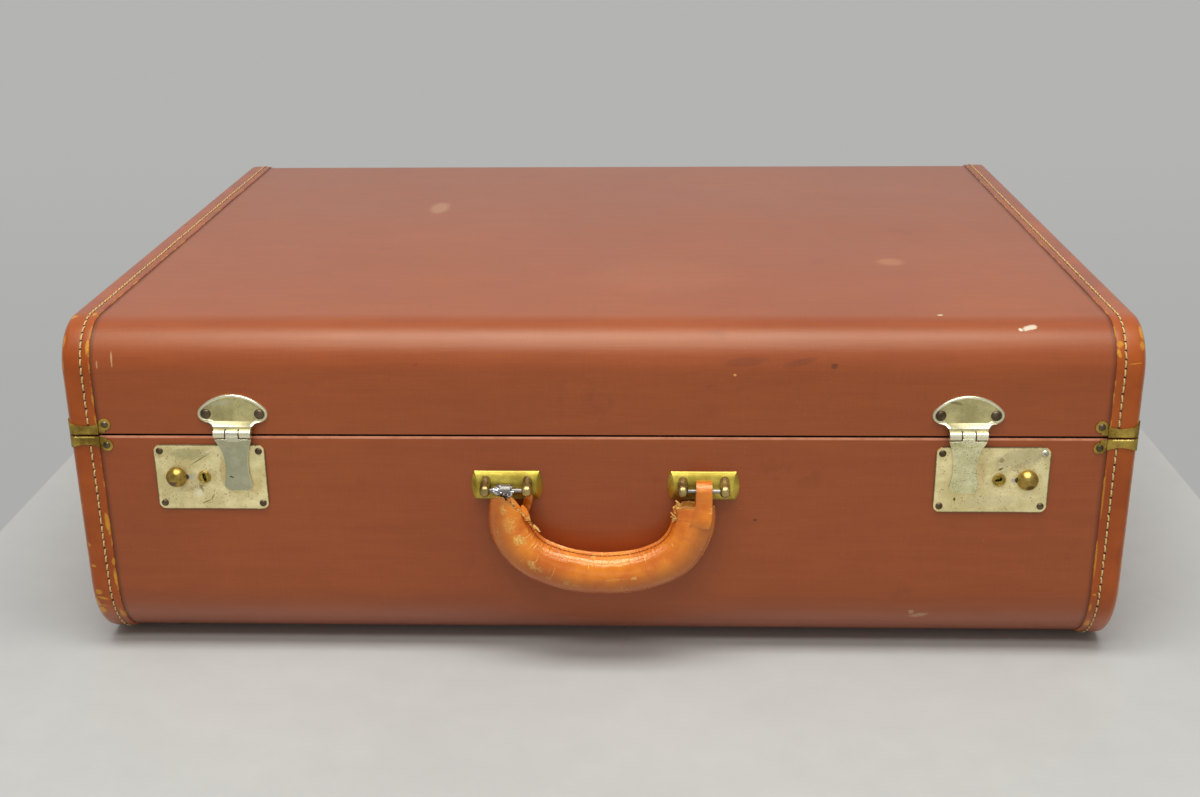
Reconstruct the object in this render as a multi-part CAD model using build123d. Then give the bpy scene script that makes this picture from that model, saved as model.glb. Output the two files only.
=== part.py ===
from build123d import *
from math import asin, atan2, cos, pi, radians, sin
import os

os.makedirs("parts", exist_ok=True)

# A bound hard-shell suitcase lying on its base, in millimetres. X runs along the front from left to
# right, Y from the front to the hinges and Z up. The origin is under the middle of the case, on the
# plane that its leather bindings stand on. "Out" is the distance from the covering of the front wall.

# Case, measured over the leather bindings
CASE_WIDTH = 660.0
CASE_DEPTH = 508.0
CASE_HEIGHT = 224.0
TOP_EDGE_RADIUS = 30.0
BOTTOM_EDGE_RADIUS = 50.0
END_EDGE_RADIUS = 5.0
SEAM_HEIGHT = 153.5
SEAM_GAP = 1.2

# Layers of the wall, from the outside in
LEATHER_PROUD = 1.2
LEATHER_INLAY = 0.2
COVER_THICKNESS = 0.8
WALL_THICKNESS = 5.0
LINING_THICKNESS = 0.8
BINDING_WIDTH = 18.3
BINDING_END_WIDTH = 20.0

# Lip inside the base that the lid closes over
LIP_THICKNESS = 2.2
LIP_RISE = 6.0
LIP_DEPTH = 26.0
LIP_CLEARANCE = 0.7

# Brass clamps over the ends of the bindings at the seam
CLAMP_THICKNESS = 0.8
CLAMP_CORNER_HEIGHT = 9.5
CLAMP_WAIST_HEIGHT = 5.7
CLAMP_INNER_HEIGHT = 7.2
CLAMP_END_REACH = 14.0
CLAMP_EAR_INSET = 4.7
CLAMP_EAR_HEIGHT = 6.3
CLAMP_EAR_RADIUS = 3.8
CLAMP_NECK_HEIGHT = 5.2
CLAMP_SEAM_CLEARANCE = 0.1

# Running clearance of every pin in what turns on it
PIN_CLEARANCE = 0.05

# Rivets
CLAMP_RIVET_RADIUS = 2.25
LOCK_RIVET_RADIUS = 2.3
HASP_RIVET_RADIUS = 3.2
HINGE_RIVET_RADIUS = 2.6
RIVET_DOME = 0.5
RIVET_SHANK_SHARE = 0.5
RIVET_CLINCH = 0.2

# Rear hinges
HINGE_FROM_END = 130.0
HINGE_WIDTH = 58.0
HINGE_LEAF_HEIGHT = 21.0
HINGE_LEAF_THICKNESS = 1.2
HINGE_KNUCKLE_RADIUS = 2.8
HINGE_PIN_RADIUS = 1.3
HINGE_KNUCKLE_GAP = 0.35
HINGE_KNUCKLES = 3
HINGE_RIVET_SPACING = 40.0
HINGE_RIVET_INSET = 7.0
HINGE_STOP_REACH = 1.5
HINGE_STOP_WIDTH = 8.0
HINGE_STOP_CLEARANCE = 0.15
LID_OPENING = 100.0

# Lock plates and the latch behind them, placed from the middle of the plate
LOCK_FROM_END = 87.0
LOCK_BELOW_SEAM = 28.1
LOCK_PLATE_WIDTH = 70.0
LOCK_PLATE_HEIGHT = 43.5
LOCK_PLATE_THICKNESS = 1.2
LOCK_PLATE_RADIUS = 5.0
LOCK_RIVET_SPACING_X = 62.4
LOCK_RIVET_SPACING_Z = 35.2
LOCK_CASE_WIDTH = 62.2
LOCK_CASE_HEIGHT = 30.0
LOCK_CASE_WALL = 0.6
LOCK_CASE_CLEARANCE = 0.2
SLIDE_THICKNESS = 1.0
SLIDE_HEIGHT = 16.0
SLIDE_TRAVEL = 6.0
SLIDE_CLEARANCE = 0.15
SLIDE_NOSE_WIDTH = 4.8
SLIDE_TAB_THICKNESS = 1.0
SLIDE_TAB_HEIGHT = 2.6
SLIDE_TAB_DEPTH = 3.0
SLIDE_TAIL = 7.0
SPRING_TAB_OFFSET = -11.0
SPRING_STRIP = 0.4
SPRING_WIDTH = 2.4
SPRING_RISE = 8.0
SPRING_BEND_RADIUS = 1.6
KNOB_OFFSET = 22.0
KNOB_RADIUS = 6.5
KNOB_HEIGHT = 5.8
KNOB_SKIRT = 1.0
KNOB_SHANK_RADIUS = 1.5
KNOB_LIFT = 0.2
BARREL_OFFSET = 4.5
BARREL_RADIUS = 4.1
BARREL_PROUD = 0.8
BARREL_DEPTH = 2.4
PLUG_RADIUS = 3.0
PLUG_PROUD = 0.5
PLUG_CLEARANCE = 0.05
KEYHOLE_RADIUS = 0.95
KEYHOLE_SLOT_WIDTH = 0.9
KEYHOLE_SLOT_LENGTH = 2.3
KEYHOLE_DEPTH = 2.6
CAM_WIDTH = 3.0
CAM_LENGTH = 7.5
CAM_THICKNESS = 1.2
LATCH_CLEARANCE = 0.3

# Hasps: a plate on the lid, and a flap hinged on it whose hook goes into the lock. Rises and drops
# are measured from the hasp's pin.
HASP_OFFSET = -17.2
HASP_AXIS_ABOVE_SEAM = 2.8
HASP_AXIS_OUT = 5.2
HASP_PLATE_THICKNESS = 1.2
HASP_PLATE_RISE = 24.4
HASP_RIVET_OFFSET = 16.6
HASP_RIVET_RISE = 11.6
HASP_TIP_RADIUS = 5.4
HASP_TIP_ANGLE = 45.0
HASP_BEND_RISE = 7.0
HASP_BEND_ANGLE = 30.0
HASP_NECK_HALF_WIDTH = 12.0
HASP_SHOULDER_RADIUS = 6.5
HASP_KNUCKLE_RADIUS = 2.9
HASP_PIN_RADIUS = 1.2
HASP_CENTRE_KNUCKLE = 8.2
HASP_KNUCKLE_GAP = 0.3
FLAP_THICKNESS = 1.5
FLAP_PLATE_GAP = 0.3
FLAP_TOP_DROP = 4.1
FLAP_BEND_DROP = 20.3
FLAP_WAIST_DROP = 22.3
FLAP_WAIST_HALF_WIDTH = 7.3
FLAP_END_DROP = 34.7
FLAP_END_HALF_WIDTH = 9.2
FLAP_END_RADIUS = 4.4
FLAP_BOTTOM_DROP = 39.3
HOOK_WIDTH = 4.0
HOOK_HEIGHT = 6.0
HOOK_DEPTH = 3.6
HOOK_NOTCH_DEPTH = 1.2
HOOK_BITE = 0.8
HOOK_ROOM_BELOW = 1.8
HOOK_ROOM_ABOVE = 1.0

# Handle, its plates, lugs and pins. Drops are measured from the handle's pins.
HANDLE_X = 4.2
HANDLE_PLATE_OFFSET = 61.3
HANDLE_PLATE_WIDTH = 45.0
HANDLE_PLATE_TOP_WIDTH = 40.6
HANDLE_PLATE_HEIGHT = 19.0
HANDLE_PLATE_BELOW_SEAM = 33.0
HANDLE_PLATE_BULGE = 3.5
HANDLE_PLATE_SHEET = 1.0
LUG_SPACING = 26.0
LUG_WIDTH = 5.3
LUG_NOSE_RADIUS = 3.8
LUG_ROOT_HEIGHT = 11.5
LUG_ROOT_RISE = 1.2
LUG_EDGE_FILLET = 1.2
LUG_SHANK_RADIUS = 2.0
PIN_RISE = 0.5
PIN_OUT = 10.2
PIN_RADIUS = 1.4
HANDLE_HANG = 2.6
GRIP_DROP = 55.5
GRIP_BEND_HALF = 40.2
GRIP_BEND_DROP = 46.8
GRIP_TOP_HALF = 60.2
GRIP_TOP_DROP = 8.6
GRIP_WIDTH = 26.5
GRIP_THICKNESS = 23.6
GRIP_END_THICKNESS = 13.0
GRIP_FULLNESS = 0.75
GRIP_SECTIONS = 11
CORE_RADIUS = 2.4
EYE_RADIUS = 4.0
EYE_WIDTH = 6.0
LOOP_WIDTH = 9.5
LOOP_THICKNESS = 1.4
LOOP_LEG = 14.0

# How far each layer's outer face lies inside the leather's
COVER_INSET = LEATHER_PROUD
REBATE_INSET = LEATHER_PROUD + LEATHER_INLAY
WOOD_INSET = COVER_INSET + COVER_THICKNESS
INNER_INSET = WOOD_INSET + WALL_THICKNESS
LINED_INSET = INNER_INSET + LINING_THICKNESS

COVER_FRONT = -CASE_DEPTH / 2 + COVER_INSET
COVER_REAR = CASE_DEPTH / 2 - COVER_INSET
WALL_DEPTH = COVER_THICKNESS + WALL_THICKNESS
BINDING_EDGE_X = CASE_WIDTH / 2 - BINDING_WIDTH
BOARD_X = CASE_WIDTH / 2 - INNER_INSET
CLAMP_EAR_X = BINDING_EDGE_X - CLAMP_EAR_INSET
HINGE_X = CASE_WIDTH / 2 - HINGE_FROM_END

# Where the lock, the hasp and the handle sit on the front
LOCK_X = CASE_WIDTH / 2 - LOCK_FROM_END
LOCK_Z = SEAM_HEIGHT - LOCK_BELOW_SEAM
SPRING_TAB_X = LOCK_X + SPRING_TAB_OFFSET
KNOB_X = LOCK_X + KNOB_OFFSET
BARREL_X = LOCK_X + BARREL_OFFSET
HASP_X = LOCK_X + HASP_OFFSET
HASP_AXIS_Z = SEAM_HEIGHT + HASP_AXIS_ABOVE_SEAM
HASP_BEND_Z = HASP_AXIS_Z + HASP_BEND_RISE
HASP_RIVET_Z = HASP_AXIS_Z + HASP_RIVET_RISE
HANDLE_PLATE_Z = SEAM_HEIGHT - HANDLE_PLATE_BELOW_SEAM
PIN_Z = HANDLE_PLATE_Z + PIN_RISE

BASE, LID = -1, 1
ROOM = 2 * (CASE_WIDTH + CASE_DEPTH + CASE_HEIGHT)


def rim(side):
    """The height of the base's rim (BASE) or of the lid's (LID)."""
    return SEAM_HEIGHT + side * SEAM_GAP / 2


def beyond(height, side):
    """All the space above a height (LID) or below it (BASE)."""
    align = Align.MIN if side == LID else Align.MAX
    return Pos(0, 0, height) * Box(ROOM, ROOM, ROOM, align=(Align.CENTER, Align.CENTER, align))


def right_of(x):
    """All the space to the right of a place in X."""
    return Pos(x, 0, 0) * Box(ROOM, ROOM, ROOM, align=(Align.MIN, Align.CENTER, Align.CENTER))


def case_profile(inset):
    """The case seen from its end, with every side moved in by inset."""
    profile = Pos(0, CASE_HEIGHT / 2) * Rectangle(CASE_DEPTH - 2 * inset, CASE_HEIGHT - 2 * inset)
    profile = fillet(profile.vertices().group_by(Axis.Y)[-1], TOP_EDGE_RADIUS - inset)
    return fillet(profile.vertices().group_by(Axis.Y)[0], BOTTOM_EDGE_RADIUS - inset)


def case_body(inset):
    """The closed case as one block, with every side moved in by inset."""
    body = extrude(Plane.YZ * case_profile(inset), amount=CASE_WIDTH / 2 - inset, both=True)
    if inset < END_EDGE_RADIUS:
        ends = body.faces().sort_by(Axis.X)
        body = fillet(ends[0].edges() + ends[-1].edges(), END_EDGE_RADIUS - inset)
    return body


def upright_block(inset):
    """A plain block through the seam, as wide and deep as the case with its sides moved in."""
    width, depth = CASE_WIDTH - 2 * inset, CASE_DEPTH - 2 * inset
    return Pos(0, 0, SEAM_HEIGHT) * Box(width, depth, CASE_HEIGHT)


def front_plane(out, x=0, z=0):
    """A plane parallel to the front wall, with its own X to the right, Y up and Z outwards."""
    return Plane(origin=(x, COVER_FRONT - out, z), x_dir=(1, 0, 0), z_dir=(0, -1, 0))


def rear_plane(out, x=0, z=0):
    """A plane parallel to the rear wall, with its own Y up and Z outwards."""
    return Plane(origin=(x, COVER_REAR + out, z), x_dir=(-1, 0, 0), z_dir=(0, 1, 0))


def front_plate(sketch, inner, outer):
    """A flat piece with a front-view outline, from one distance out to another."""
    return extrude(front_plane(inner) * sketch, amount=outer - inner)


def side_section(section, x_low, x_high):
    """A piece of constant section, drawn with out to the right and Z up, between two places in X."""
    plane = Plane(origin=(x_low, COVER_FRONT, 0), x_dir=(0, -1, 0), z_dir=(-1, 0, 0))
    return extrude(plane * section, amount=-(x_high - x_low))


def dome_arc(radius, low, high):
    """The right half of a dome's outline, from its edge at one height to its top at another."""
    height = high - low
    dome = (radius**2 + height**2) / (2 * height)
    half = asin(min(1.0, radius / dome)) / 2
    return ThreePointArc((radius, low), (dome * sin(half), high - dome + dome * cos(half)), (0, high))


def rivet(head_radius, seat_depth):
    """A domed rivet on the XY plane, with its shank going down through what it holds."""
    height = head_radius * RIVET_DOME
    shank = head_radius * RIVET_SHANK_SHARE
    outline = Polyline((0, height), (0, -seat_depth), (shank, -seat_depth), (shank, 0), (head_radius, 0))
    return revolve(Plane.XZ * make_face(outline + dome_arc(head_radius, 0, height)), Axis.Z)


def front_rivet(head_radius, x, z, seat):
    """A rivet whose head sits at a distance out from the front covering."""
    depth = seat + WALL_DEPTH - RIVET_CLINCH
    return front_plane(seat, x, z).location * rivet(head_radius, depth)


def rear_rivet(head_radius, x, z, seat):
    """A rivet whose head sits at a distance out from the rear covering."""
    depth = seat + WALL_DEPTH - RIVET_CLINCH
    return rear_plane(seat, x, z).location * rivet(head_radius, depth)


def flipped(shape):
    """The same piece on the other side, left for right."""
    return mirror(shape, about=Plane.YZ)


def turned_back(shape):
    """The same piece at the rear, front for back."""
    return mirror(shape, about=Plane.XZ)


def round_bar(radius, x_low, x_high, out, z):
    """A round bar along X in front of the case."""
    return side_section(Pos(out, z) * Circle(radius), x_low, x_high)


def save(name, *pieces):
    """One file for each node, holding its piece or its group of like pieces."""
    solids = [solid for piece in pieces for solid in piece.solids()]
    node = solids[0] if len(solids) == 1 else Compound(solids)
    node.label = name
    export_step(node, f"parts/{name}.step")


LEATHERED = case_body(0)
COVERED = case_body(COVER_INSET)
REBATED = case_body(REBATE_INSET)
WOODEN = case_body(WOOD_INSET)
INSIDE = case_body(INNER_INSET)
LINED = case_body(LINED_INSET)


# Leather bindings: a band round each end of the case, turned over its edge onto the end wall
def binding(side):
    window = extrude(Plane.YZ * case_profile(BINDING_END_WIDTH), amount=ROOM)
    band = (LEATHERED & right_of(BINDING_EDGE_X)) - REBATED - window
    return band & beyond(rim(side), side)


# Covering: a skin over the wall, turned over the rim to the inside of the wall
def covering(side):
    skin = (COVERED & beyond(rim(side), side)) - INSIDE
    return skin - (WOODEN & beyond(rim(side) + side * COVER_THICKNESS, side))


# Wooden frame of the base or the lid: a panel bent over its long edges, and a board at each end
def wooden_frame(side):
    return (WOODEN & beyond(rim(side) + side * COVER_THICKNESS, side)) - INSIDE


def bent_panel(frame):
    ends = right_of(BOARD_X)
    return frame - ends - flipped(ends)


def end_board(frame):
    return frame & right_of(BOARD_X)


# Lining on the inside of the frame, up to the rim
def lining(side):
    return (INSIDE & beyond(rim(side) + side * COVER_THICKNESS, side)) - LINED


# Closing lip: a thin wooden frame inside the base's walls that rises into the lid
def closing_lip():
    low, high = rim(BASE) - LIP_DEPTH, rim(BASE) + LIP_RISE
    inner = upright_block(LINED_INSET + LIP_CLEARANCE + LIP_THICKNESS)
    foot = upright_block(LINED_INSET) & beyond(low, LID) & beyond(rim(BASE), BASE)
    tongue = upright_block(LINED_INSET + LIP_CLEARANCE) & beyond(low, LID) & beyond(high, BASE)
    return foot + tongue - inner


# Corner clamps: a brass band over the end of the binding, with an ear riveted to the covering
def clamp_outline(side):
    start = rim(side) + side * CLAMP_SEAM_CLEARANCE
    corner_x = CASE_WIDTH / 2 + 2 * CLAMP_THICKNESS
    inner_x = BINDING_EDGE_X - CLAMP_THICKNESS
    waist_x = (inner_x + corner_x) / 2
    edges = Polyline(
        (inner_x, rim(side) + side * CLAMP_INNER_HEIGHT),
        (inner_x, start),
        (corner_x, start),
        (corner_x, rim(side) + side * CLAMP_CORNER_HEIGHT),
    )
    waist = ThreePointArc(
        (corner_x, rim(side) + side * CLAMP_CORNER_HEIGHT),
        (waist_x, rim(side) + side * CLAMP_WAIST_HEIGHT),
        (inner_x, rim(side) + side * CLAMP_INNER_HEIGHT),
    )
    ear_z = rim(side) + side * CLAMP_EAR_HEIGHT
    ear = Pos(CLAMP_EAR_X, ear_z) * Circle(CLAMP_EAR_RADIUS)
    reach = inner_x - CLAMP_EAR_X + CLAMP_THICKNESS
    neck = Pos(CLAMP_EAR_X + reach / 2, (start + ear_z + side * CLAMP_THICKNESS) / 2) * Rectangle(
        reach, CLAMP_NECK_HEIGHT
    )
    return make_face(edges + waist) + ear + neck


def corner_clamp(side):
    """The clamp at the front right corner of the base or the lid."""
    reach = CLAMP_END_REACH + LEATHER_PROUD + CLAMP_THICKNESS
    front = LEATHER_PROUD + 2 * CLAMP_THICKNESS
    block = front_plate(clamp_outline(side), front - reach - CLAMP_THICKNESS, front)
    over_leather = (block & case_body(-CLAMP_THICKNESS) & right_of(BINDING_EDGE_X)) - LEATHERED
    edge = block & case_body(-CLAMP_THICKNESS) & right_of(BINDING_EDGE_X - CLAMP_THICKNESS)
    riser = edge - right_of(BINDING_EDGE_X) - COVERED
    foot = (block & case_body(COVER_INSET - CLAMP_THICKNESS)) - COVERED
    foot -= right_of(BINDING_EDGE_X - CLAMP_THICKNESS)
    return over_leather + riser + foot


def clamp_rivets(side):
    """The four rivets of the base's clamps or the lid's."""
    z = rim(side) + side * CLAMP_EAR_HEIGHT
    front = front_rivet(CLAMP_RIVET_RADIUS, CLAMP_EAR_X, z, CLAMP_THICKNESS)
    return [front, flipped(front), turned_back(front), turned_back(flipped(front))]


# Rear hinges: a leaf on the base, a leaf on the lid and a pin through their knuckles
def hinge_leaf(side):
    """One leaf at the right-hand hinge. The lid's leaf has the middle knuckle and the stop."""
    knuckle = HINGE_WIDTH / HINGE_KNUCKLES
    clear = HINGE_KNUCKLE_RADIUS + HINGE_KNUCKLE_GAP
    middle = SEAM_HEIGHT + side * (clear + HINGE_LEAF_HEIGHT / 2)
    leaf = extrude(
        rear_plane(0, HINGE_X, middle) * Rectangle(HINGE_WIDTH, HINGE_LEAF_HEIGHT),
        amount=HINGE_LEAF_THICKNESS,
    )
    y = COVER_REAR + HINGE_KNUCKLE_RADIUS
    own = [0] if side == LID else [-1, 1]
    for place in own:
        width = knuckle - HINGE_KNUCKLE_GAP
        spot = Pos(HINGE_X + place * knuckle, y, SEAM_HEIGHT)
        barrel = spot * Rot(0, 90, 0) * Cylinder(HINGE_KNUCKLE_RADIUS, width)
        web = Pos(HINGE_X + place * knuckle, COVER_REAR, SEAM_HEIGHT) * Box(
            width,
            HINGE_LEAF_THICKNESS,
            clear + HINGE_LEAF_THICKNESS,
            align=(Align.CENTER, Align.MIN, Align.MIN if side == LID else Align.MAX),
        )
        leaf = leaf + barrel + web
    if side == LID:
        leaf = leaf + hinge_stop(y)
    bore = HINGE_PIN_RADIUS if side == BASE else HINGE_PIN_RADIUS + PIN_CLEARANCE
    return leaf - Pos(HINGE_X, y, SEAM_HEIGHT) * Rot(0, 90, 0) * Cylinder(bore, ROOM)


def hinge_stop(y):
    """A tooth on the lid's knuckle that meets the base's leaf when the lid is fully open."""
    depth = HINGE_KNUCKLE_RADIUS - HINGE_LEAF_THICKNESS - HINGE_STOP_CLEARANCE
    tooth = Pos(HINGE_X, y - depth, SEAM_HEIGHT - HINGE_PIN_RADIUS - HINGE_KNUCKLE_GAP) * Box(
        HINGE_STOP_WIDTH,
        depth,
        HINGE_KNUCKLE_RADIUS + HINGE_STOP_REACH - HINGE_PIN_RADIUS - HINGE_KNUCKLE_GAP,
        align=(Align.CENTER, Align.MIN, Align.MAX),
    )
    return tooth.rotate(Axis((HINGE_X, y, SEAM_HEIGHT), (1, 0, 0)), LID_OPENING)


def hinge_pin():
    """The pin of the right-hand hinge, held fast in the base leaf's two knuckles."""
    y = COVER_REAR + HINGE_KNUCKLE_RADIUS
    return Pos(HINGE_X, y, SEAM_HEIGHT) * Rot(0, 90, 0) * Cylinder(HINGE_PIN_RADIUS, HINGE_WIDTH)


def hinge_rivets(side):
    """Two rivets through each of the two leaves on the base or on the lid."""
    clear = HINGE_KNUCKLE_RADIUS + HINGE_KNUCKLE_GAP
    z = SEAM_HEIGHT + side * (clear + HINGE_LEAF_HEIGHT - HINGE_RIVET_INSET)
    pair = [
        rear_rivet(HINGE_RIVET_RADIUS, HINGE_X + place * HINGE_RIVET_SPACING / 2, z, HINGE_LEAF_THICKNESS)
        for place in (-1, 1)
    ]
    return pair + [flipped(one) for one in pair]


# Lock: plate, case let into the wall, slide with its knob and spring, key barrel and plug
def hook_opening():
    """Where the hook passes, as low and high places in X and Z. The hook dips as it swings out."""
    return (
        HASP_X - HOOK_WIDTH / 2 - LATCH_CLEARANCE,
        HASP_X + HOOK_WIDTH / 2 + LATCH_CLEARANCE,
        LOCK_Z - HOOK_HEIGHT / 2 - HOOK_ROOM_BELOW,
        LOCK_Z + HOOK_HEIGHT / 2 + HOOK_ROOM_ABOVE,
    )


def window(x_low, x_high, z_low, z_high):
    middle = Pos((x_low + x_high) / 2, (z_low + z_high) / 2)
    return middle * Rectangle(x_high - x_low, z_high - z_low)


def lock_rivet_spots():
    return [
        (LOCK_X + i * LOCK_RIVET_SPACING_X / 2, LOCK_Z + j * LOCK_RIVET_SPACING_Z / 2)
        for i in (-1, 1)
        for j in (-1, 1)
    ]


def lock_plate():
    face = Pos(LOCK_X, LOCK_Z) * RectangleRounded(LOCK_PLATE_WIDTH, LOCK_PLATE_HEIGHT, LOCK_PLATE_RADIUS)
    slot = KNOB_SHANK_RADIUS + LATCH_CLEARANCE
    face -= window(*hook_opening())
    face -= Pos(BARREL_X, LOCK_Z) * Circle(BARREL_RADIUS)
    face -= Pos(KNOB_X - SLIDE_TRAVEL / 2, LOCK_Z) * SlotCenterToCenter(SLIDE_TRAVEL, 2 * slot)
    return front_plate(face, 0, LOCK_PLATE_THICKNESS)


def lock_case():
    """A tray of thin sheet, open towards the plate."""
    inner_width = LOCK_CASE_WIDTH - 2 * LOCK_CASE_WALL
    inner_height = LOCK_CASE_HEIGHT - 2 * LOCK_CASE_WALL
    back = -WALL_DEPTH + LOCK_CASE_CLEARANCE
    block = front_plate(Pos(LOCK_X, LOCK_Z) * Rectangle(LOCK_CASE_WIDTH, LOCK_CASE_HEIGHT), back, 0)
    room = Pos(LOCK_X, LOCK_Z) * Rectangle(inner_width, inner_height)
    return block - front_plate(room, back + LOCK_CASE_WALL, 0)


def lock_mortise():
    """The opening in the wall that the lock case sits in."""
    fit = 2 * LOCK_CASE_CLEARANCE
    face = Pos(LOCK_X, LOCK_Z) * Rectangle(LOCK_CASE_WIDTH + fit, LOCK_CASE_HEIGHT + fit)
    return front_plate(face, -WALL_DEPTH, 0)


def latch_slide():
    """A sprung plate behind the lock plate. Its nose bites into a notch in the hook."""
    x_low, x_high, z_low, z_high = hook_opening()
    nose = HASP_X - HOOK_WIDTH / 2 + HOOK_BITE
    face = window(
        nose - SLIDE_NOSE_WIDTH, KNOB_X + SLIDE_TAIL, LOCK_Z - SLIDE_HEIGHT / 2, LOCK_Z + SLIDE_HEIGHT / 2
    )
    face -= window(nose, x_high + SLIDE_TRAVEL, z_low, z_high)
    ring = BARREL_RADIUS + LATCH_CLEARANCE
    face -= window(BARREL_X - ring, BARREL_X + ring + SLIDE_TRAVEL, LOCK_Z - ring, LOCK_Z + ring)
    face -= Pos(KNOB_X, LOCK_Z) * Circle(KNOB_SHANK_RADIUS)
    back = -SLIDE_CLEARANCE - SLIDE_THICKNESS
    slide = front_plate(face, back, -SLIDE_CLEARANCE)
    top = LOCK_Z + SLIDE_HEIGHT / 2
    lock_tab_x = BARREL_X + CAM_WIDTH / 2 + LATCH_CLEARANCE
    for tab_x in (SPRING_TAB_X, lock_tab_x):
        tab = window(tab_x, tab_x + SLIDE_TAB_THICKNESS, top - SLIDE_TAB_HEIGHT, top)
        slide += front_plate(tab, back - SLIDE_TAB_DEPTH, back)
    return slide


def lock_spring():
    """A bent leaf between the case's inner end wall and the tab on the slide."""
    wall = LOCK_X - LOCK_CASE_WIDTH / 2 + LOCK_CASE_WALL
    low = LOCK_Z + SLIDE_HEIGHT / 2 - SLIDE_TAB_HEIGHT / 2
    points = [
        (wall + SPRING_STRIP / 2, low - SPRING_STRIP),
        (wall + SPRING_STRIP / 2, low + SPRING_RISE),
        (SPRING_TAB_X - SPRING_STRIP / 2, low + SPRING_STRIP),
        (SPRING_TAB_X - SPRING_STRIP / 2, low - SPRING_STRIP),
    ]
    line = FilletPolyline(*points, radius=[SPRING_BEND_RADIUS, SPRING_STRIP])
    strip = trace(line, SPRING_STRIP)
    inner = -SLIDE_CLEARANCE - SLIDE_THICKNESS - LATCH_CLEARANCE
    return front_plate(strip, inner - SPRING_WIDTH, inner)


def latch_knob():
    """A domed knob on a shank that is riveted into the slide."""
    base = LOCK_PLATE_THICKNESS + KNOB_LIFT
    root = base + SLIDE_CLEARANCE + SLIDE_THICKNESS
    top = KNOB_HEIGHT
    side = Polyline((0, top), (0, -root), (KNOB_SHANK_RADIUS, -root), (KNOB_SHANK_RADIUS, 0))
    skirt = Polyline((KNOB_SHANK_RADIUS, 0), (KNOB_RADIUS, 0), (KNOB_RADIUS, KNOB_SKIRT))
    knob = revolve(Plane.XZ * make_face(side + skirt + dome_arc(KNOB_RADIUS, KNOB_SKIRT, top)), Axis.Z)
    return front_plane(base, KNOB_X, LOCK_Z).location * knob


def key_barrel():
    outer = LOCK_PLATE_THICKNESS + BARREL_PROUD
    ring = Circle(BARREL_RADIUS) - Circle(PLUG_RADIUS + PLUG_CLEARANCE)
    return front_plate(Pos(BARREL_X, LOCK_Z) * ring, -BARREL_DEPTH, outer)


def key_plug(keyhole_angle):
    """The part that the key turns, with a cam at its back that can stand in the slide's way."""
    outer = LOCK_PLATE_THICKNESS + PLUG_PROUD
    spot = Pos(BARREL_X, LOCK_Z)
    plug = front_plate(spot * Circle(PLUG_RADIUS), -BARREL_DEPTH, outer)
    hole = Circle(KEYHOLE_RADIUS)
    hole += Pos(0, -KEYHOLE_SLOT_LENGTH / 2) * Rectangle(KEYHOLE_SLOT_WIDTH, KEYHOLE_SLOT_LENGTH)
    plug -= front_plate(spot * Rot(0, 0, keyhole_angle) * hole, outer - KEYHOLE_DEPTH, outer)
    cam = Circle(CAM_WIDTH / 2)
    cam += Pos(-CAM_LENGTH / 2, 0) * Rectangle(CAM_LENGTH, CAM_WIDTH)
    return plug + front_plate(spot * cam, -BARREL_DEPTH - CAM_THICKNESS, -BARREL_DEPTH)


# Hasp plate: a lens-shaped plate with a neck that ends in two knuckles
def hasp_plate():
    tip = HASP_TIP_RADIUS
    shoulder_x = HASP_RIVET_OFFSET + tip * cos(radians(HASP_TIP_ANGLE))
    shoulder_z = HASP_RIVET_Z + tip * sin(radians(HASP_TIP_ANGLE))
    lens_top = ThreePointArc(
        (HASP_X - shoulder_x, shoulder_z),
        (HASP_X, HASP_AXIS_Z + HASP_PLATE_RISE),
        (HASP_X + shoulder_x, shoulder_z),
    )
    lens_bottom = Polyline(
        lens_top @ 1,
        (HASP_X + HASP_RIVET_OFFSET, HASP_RIVET_Z - tip),
        (HASP_X - HASP_RIVET_OFFSET, HASP_RIVET_Z - tip),
        lens_top @ 0,
    )
    face = make_face(lens_top + lens_bottom)
    for place in (-1, 1):
        face += Pos(HASP_X + place * HASP_RIVET_OFFSET, HASP_RIVET_Z) * Circle(tip)
    low_z = HASP_RIVET_Z - tip
    for place in (-1, 1):
        bite = Pos(HASP_X + place * (HASP_NECK_HALF_WIDTH + HASP_SHOULDER_RADIUS), low_z)
        face -= bite * Circle(HASP_SHOULDER_RADIUS - HASP_PLATE_THICKNESS)
    plate = front_plate(face, 0, HASP_PLATE_THICKNESS) & beyond(HASP_BEND_Z, LID)
    return plate + hasp_neck()


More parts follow.
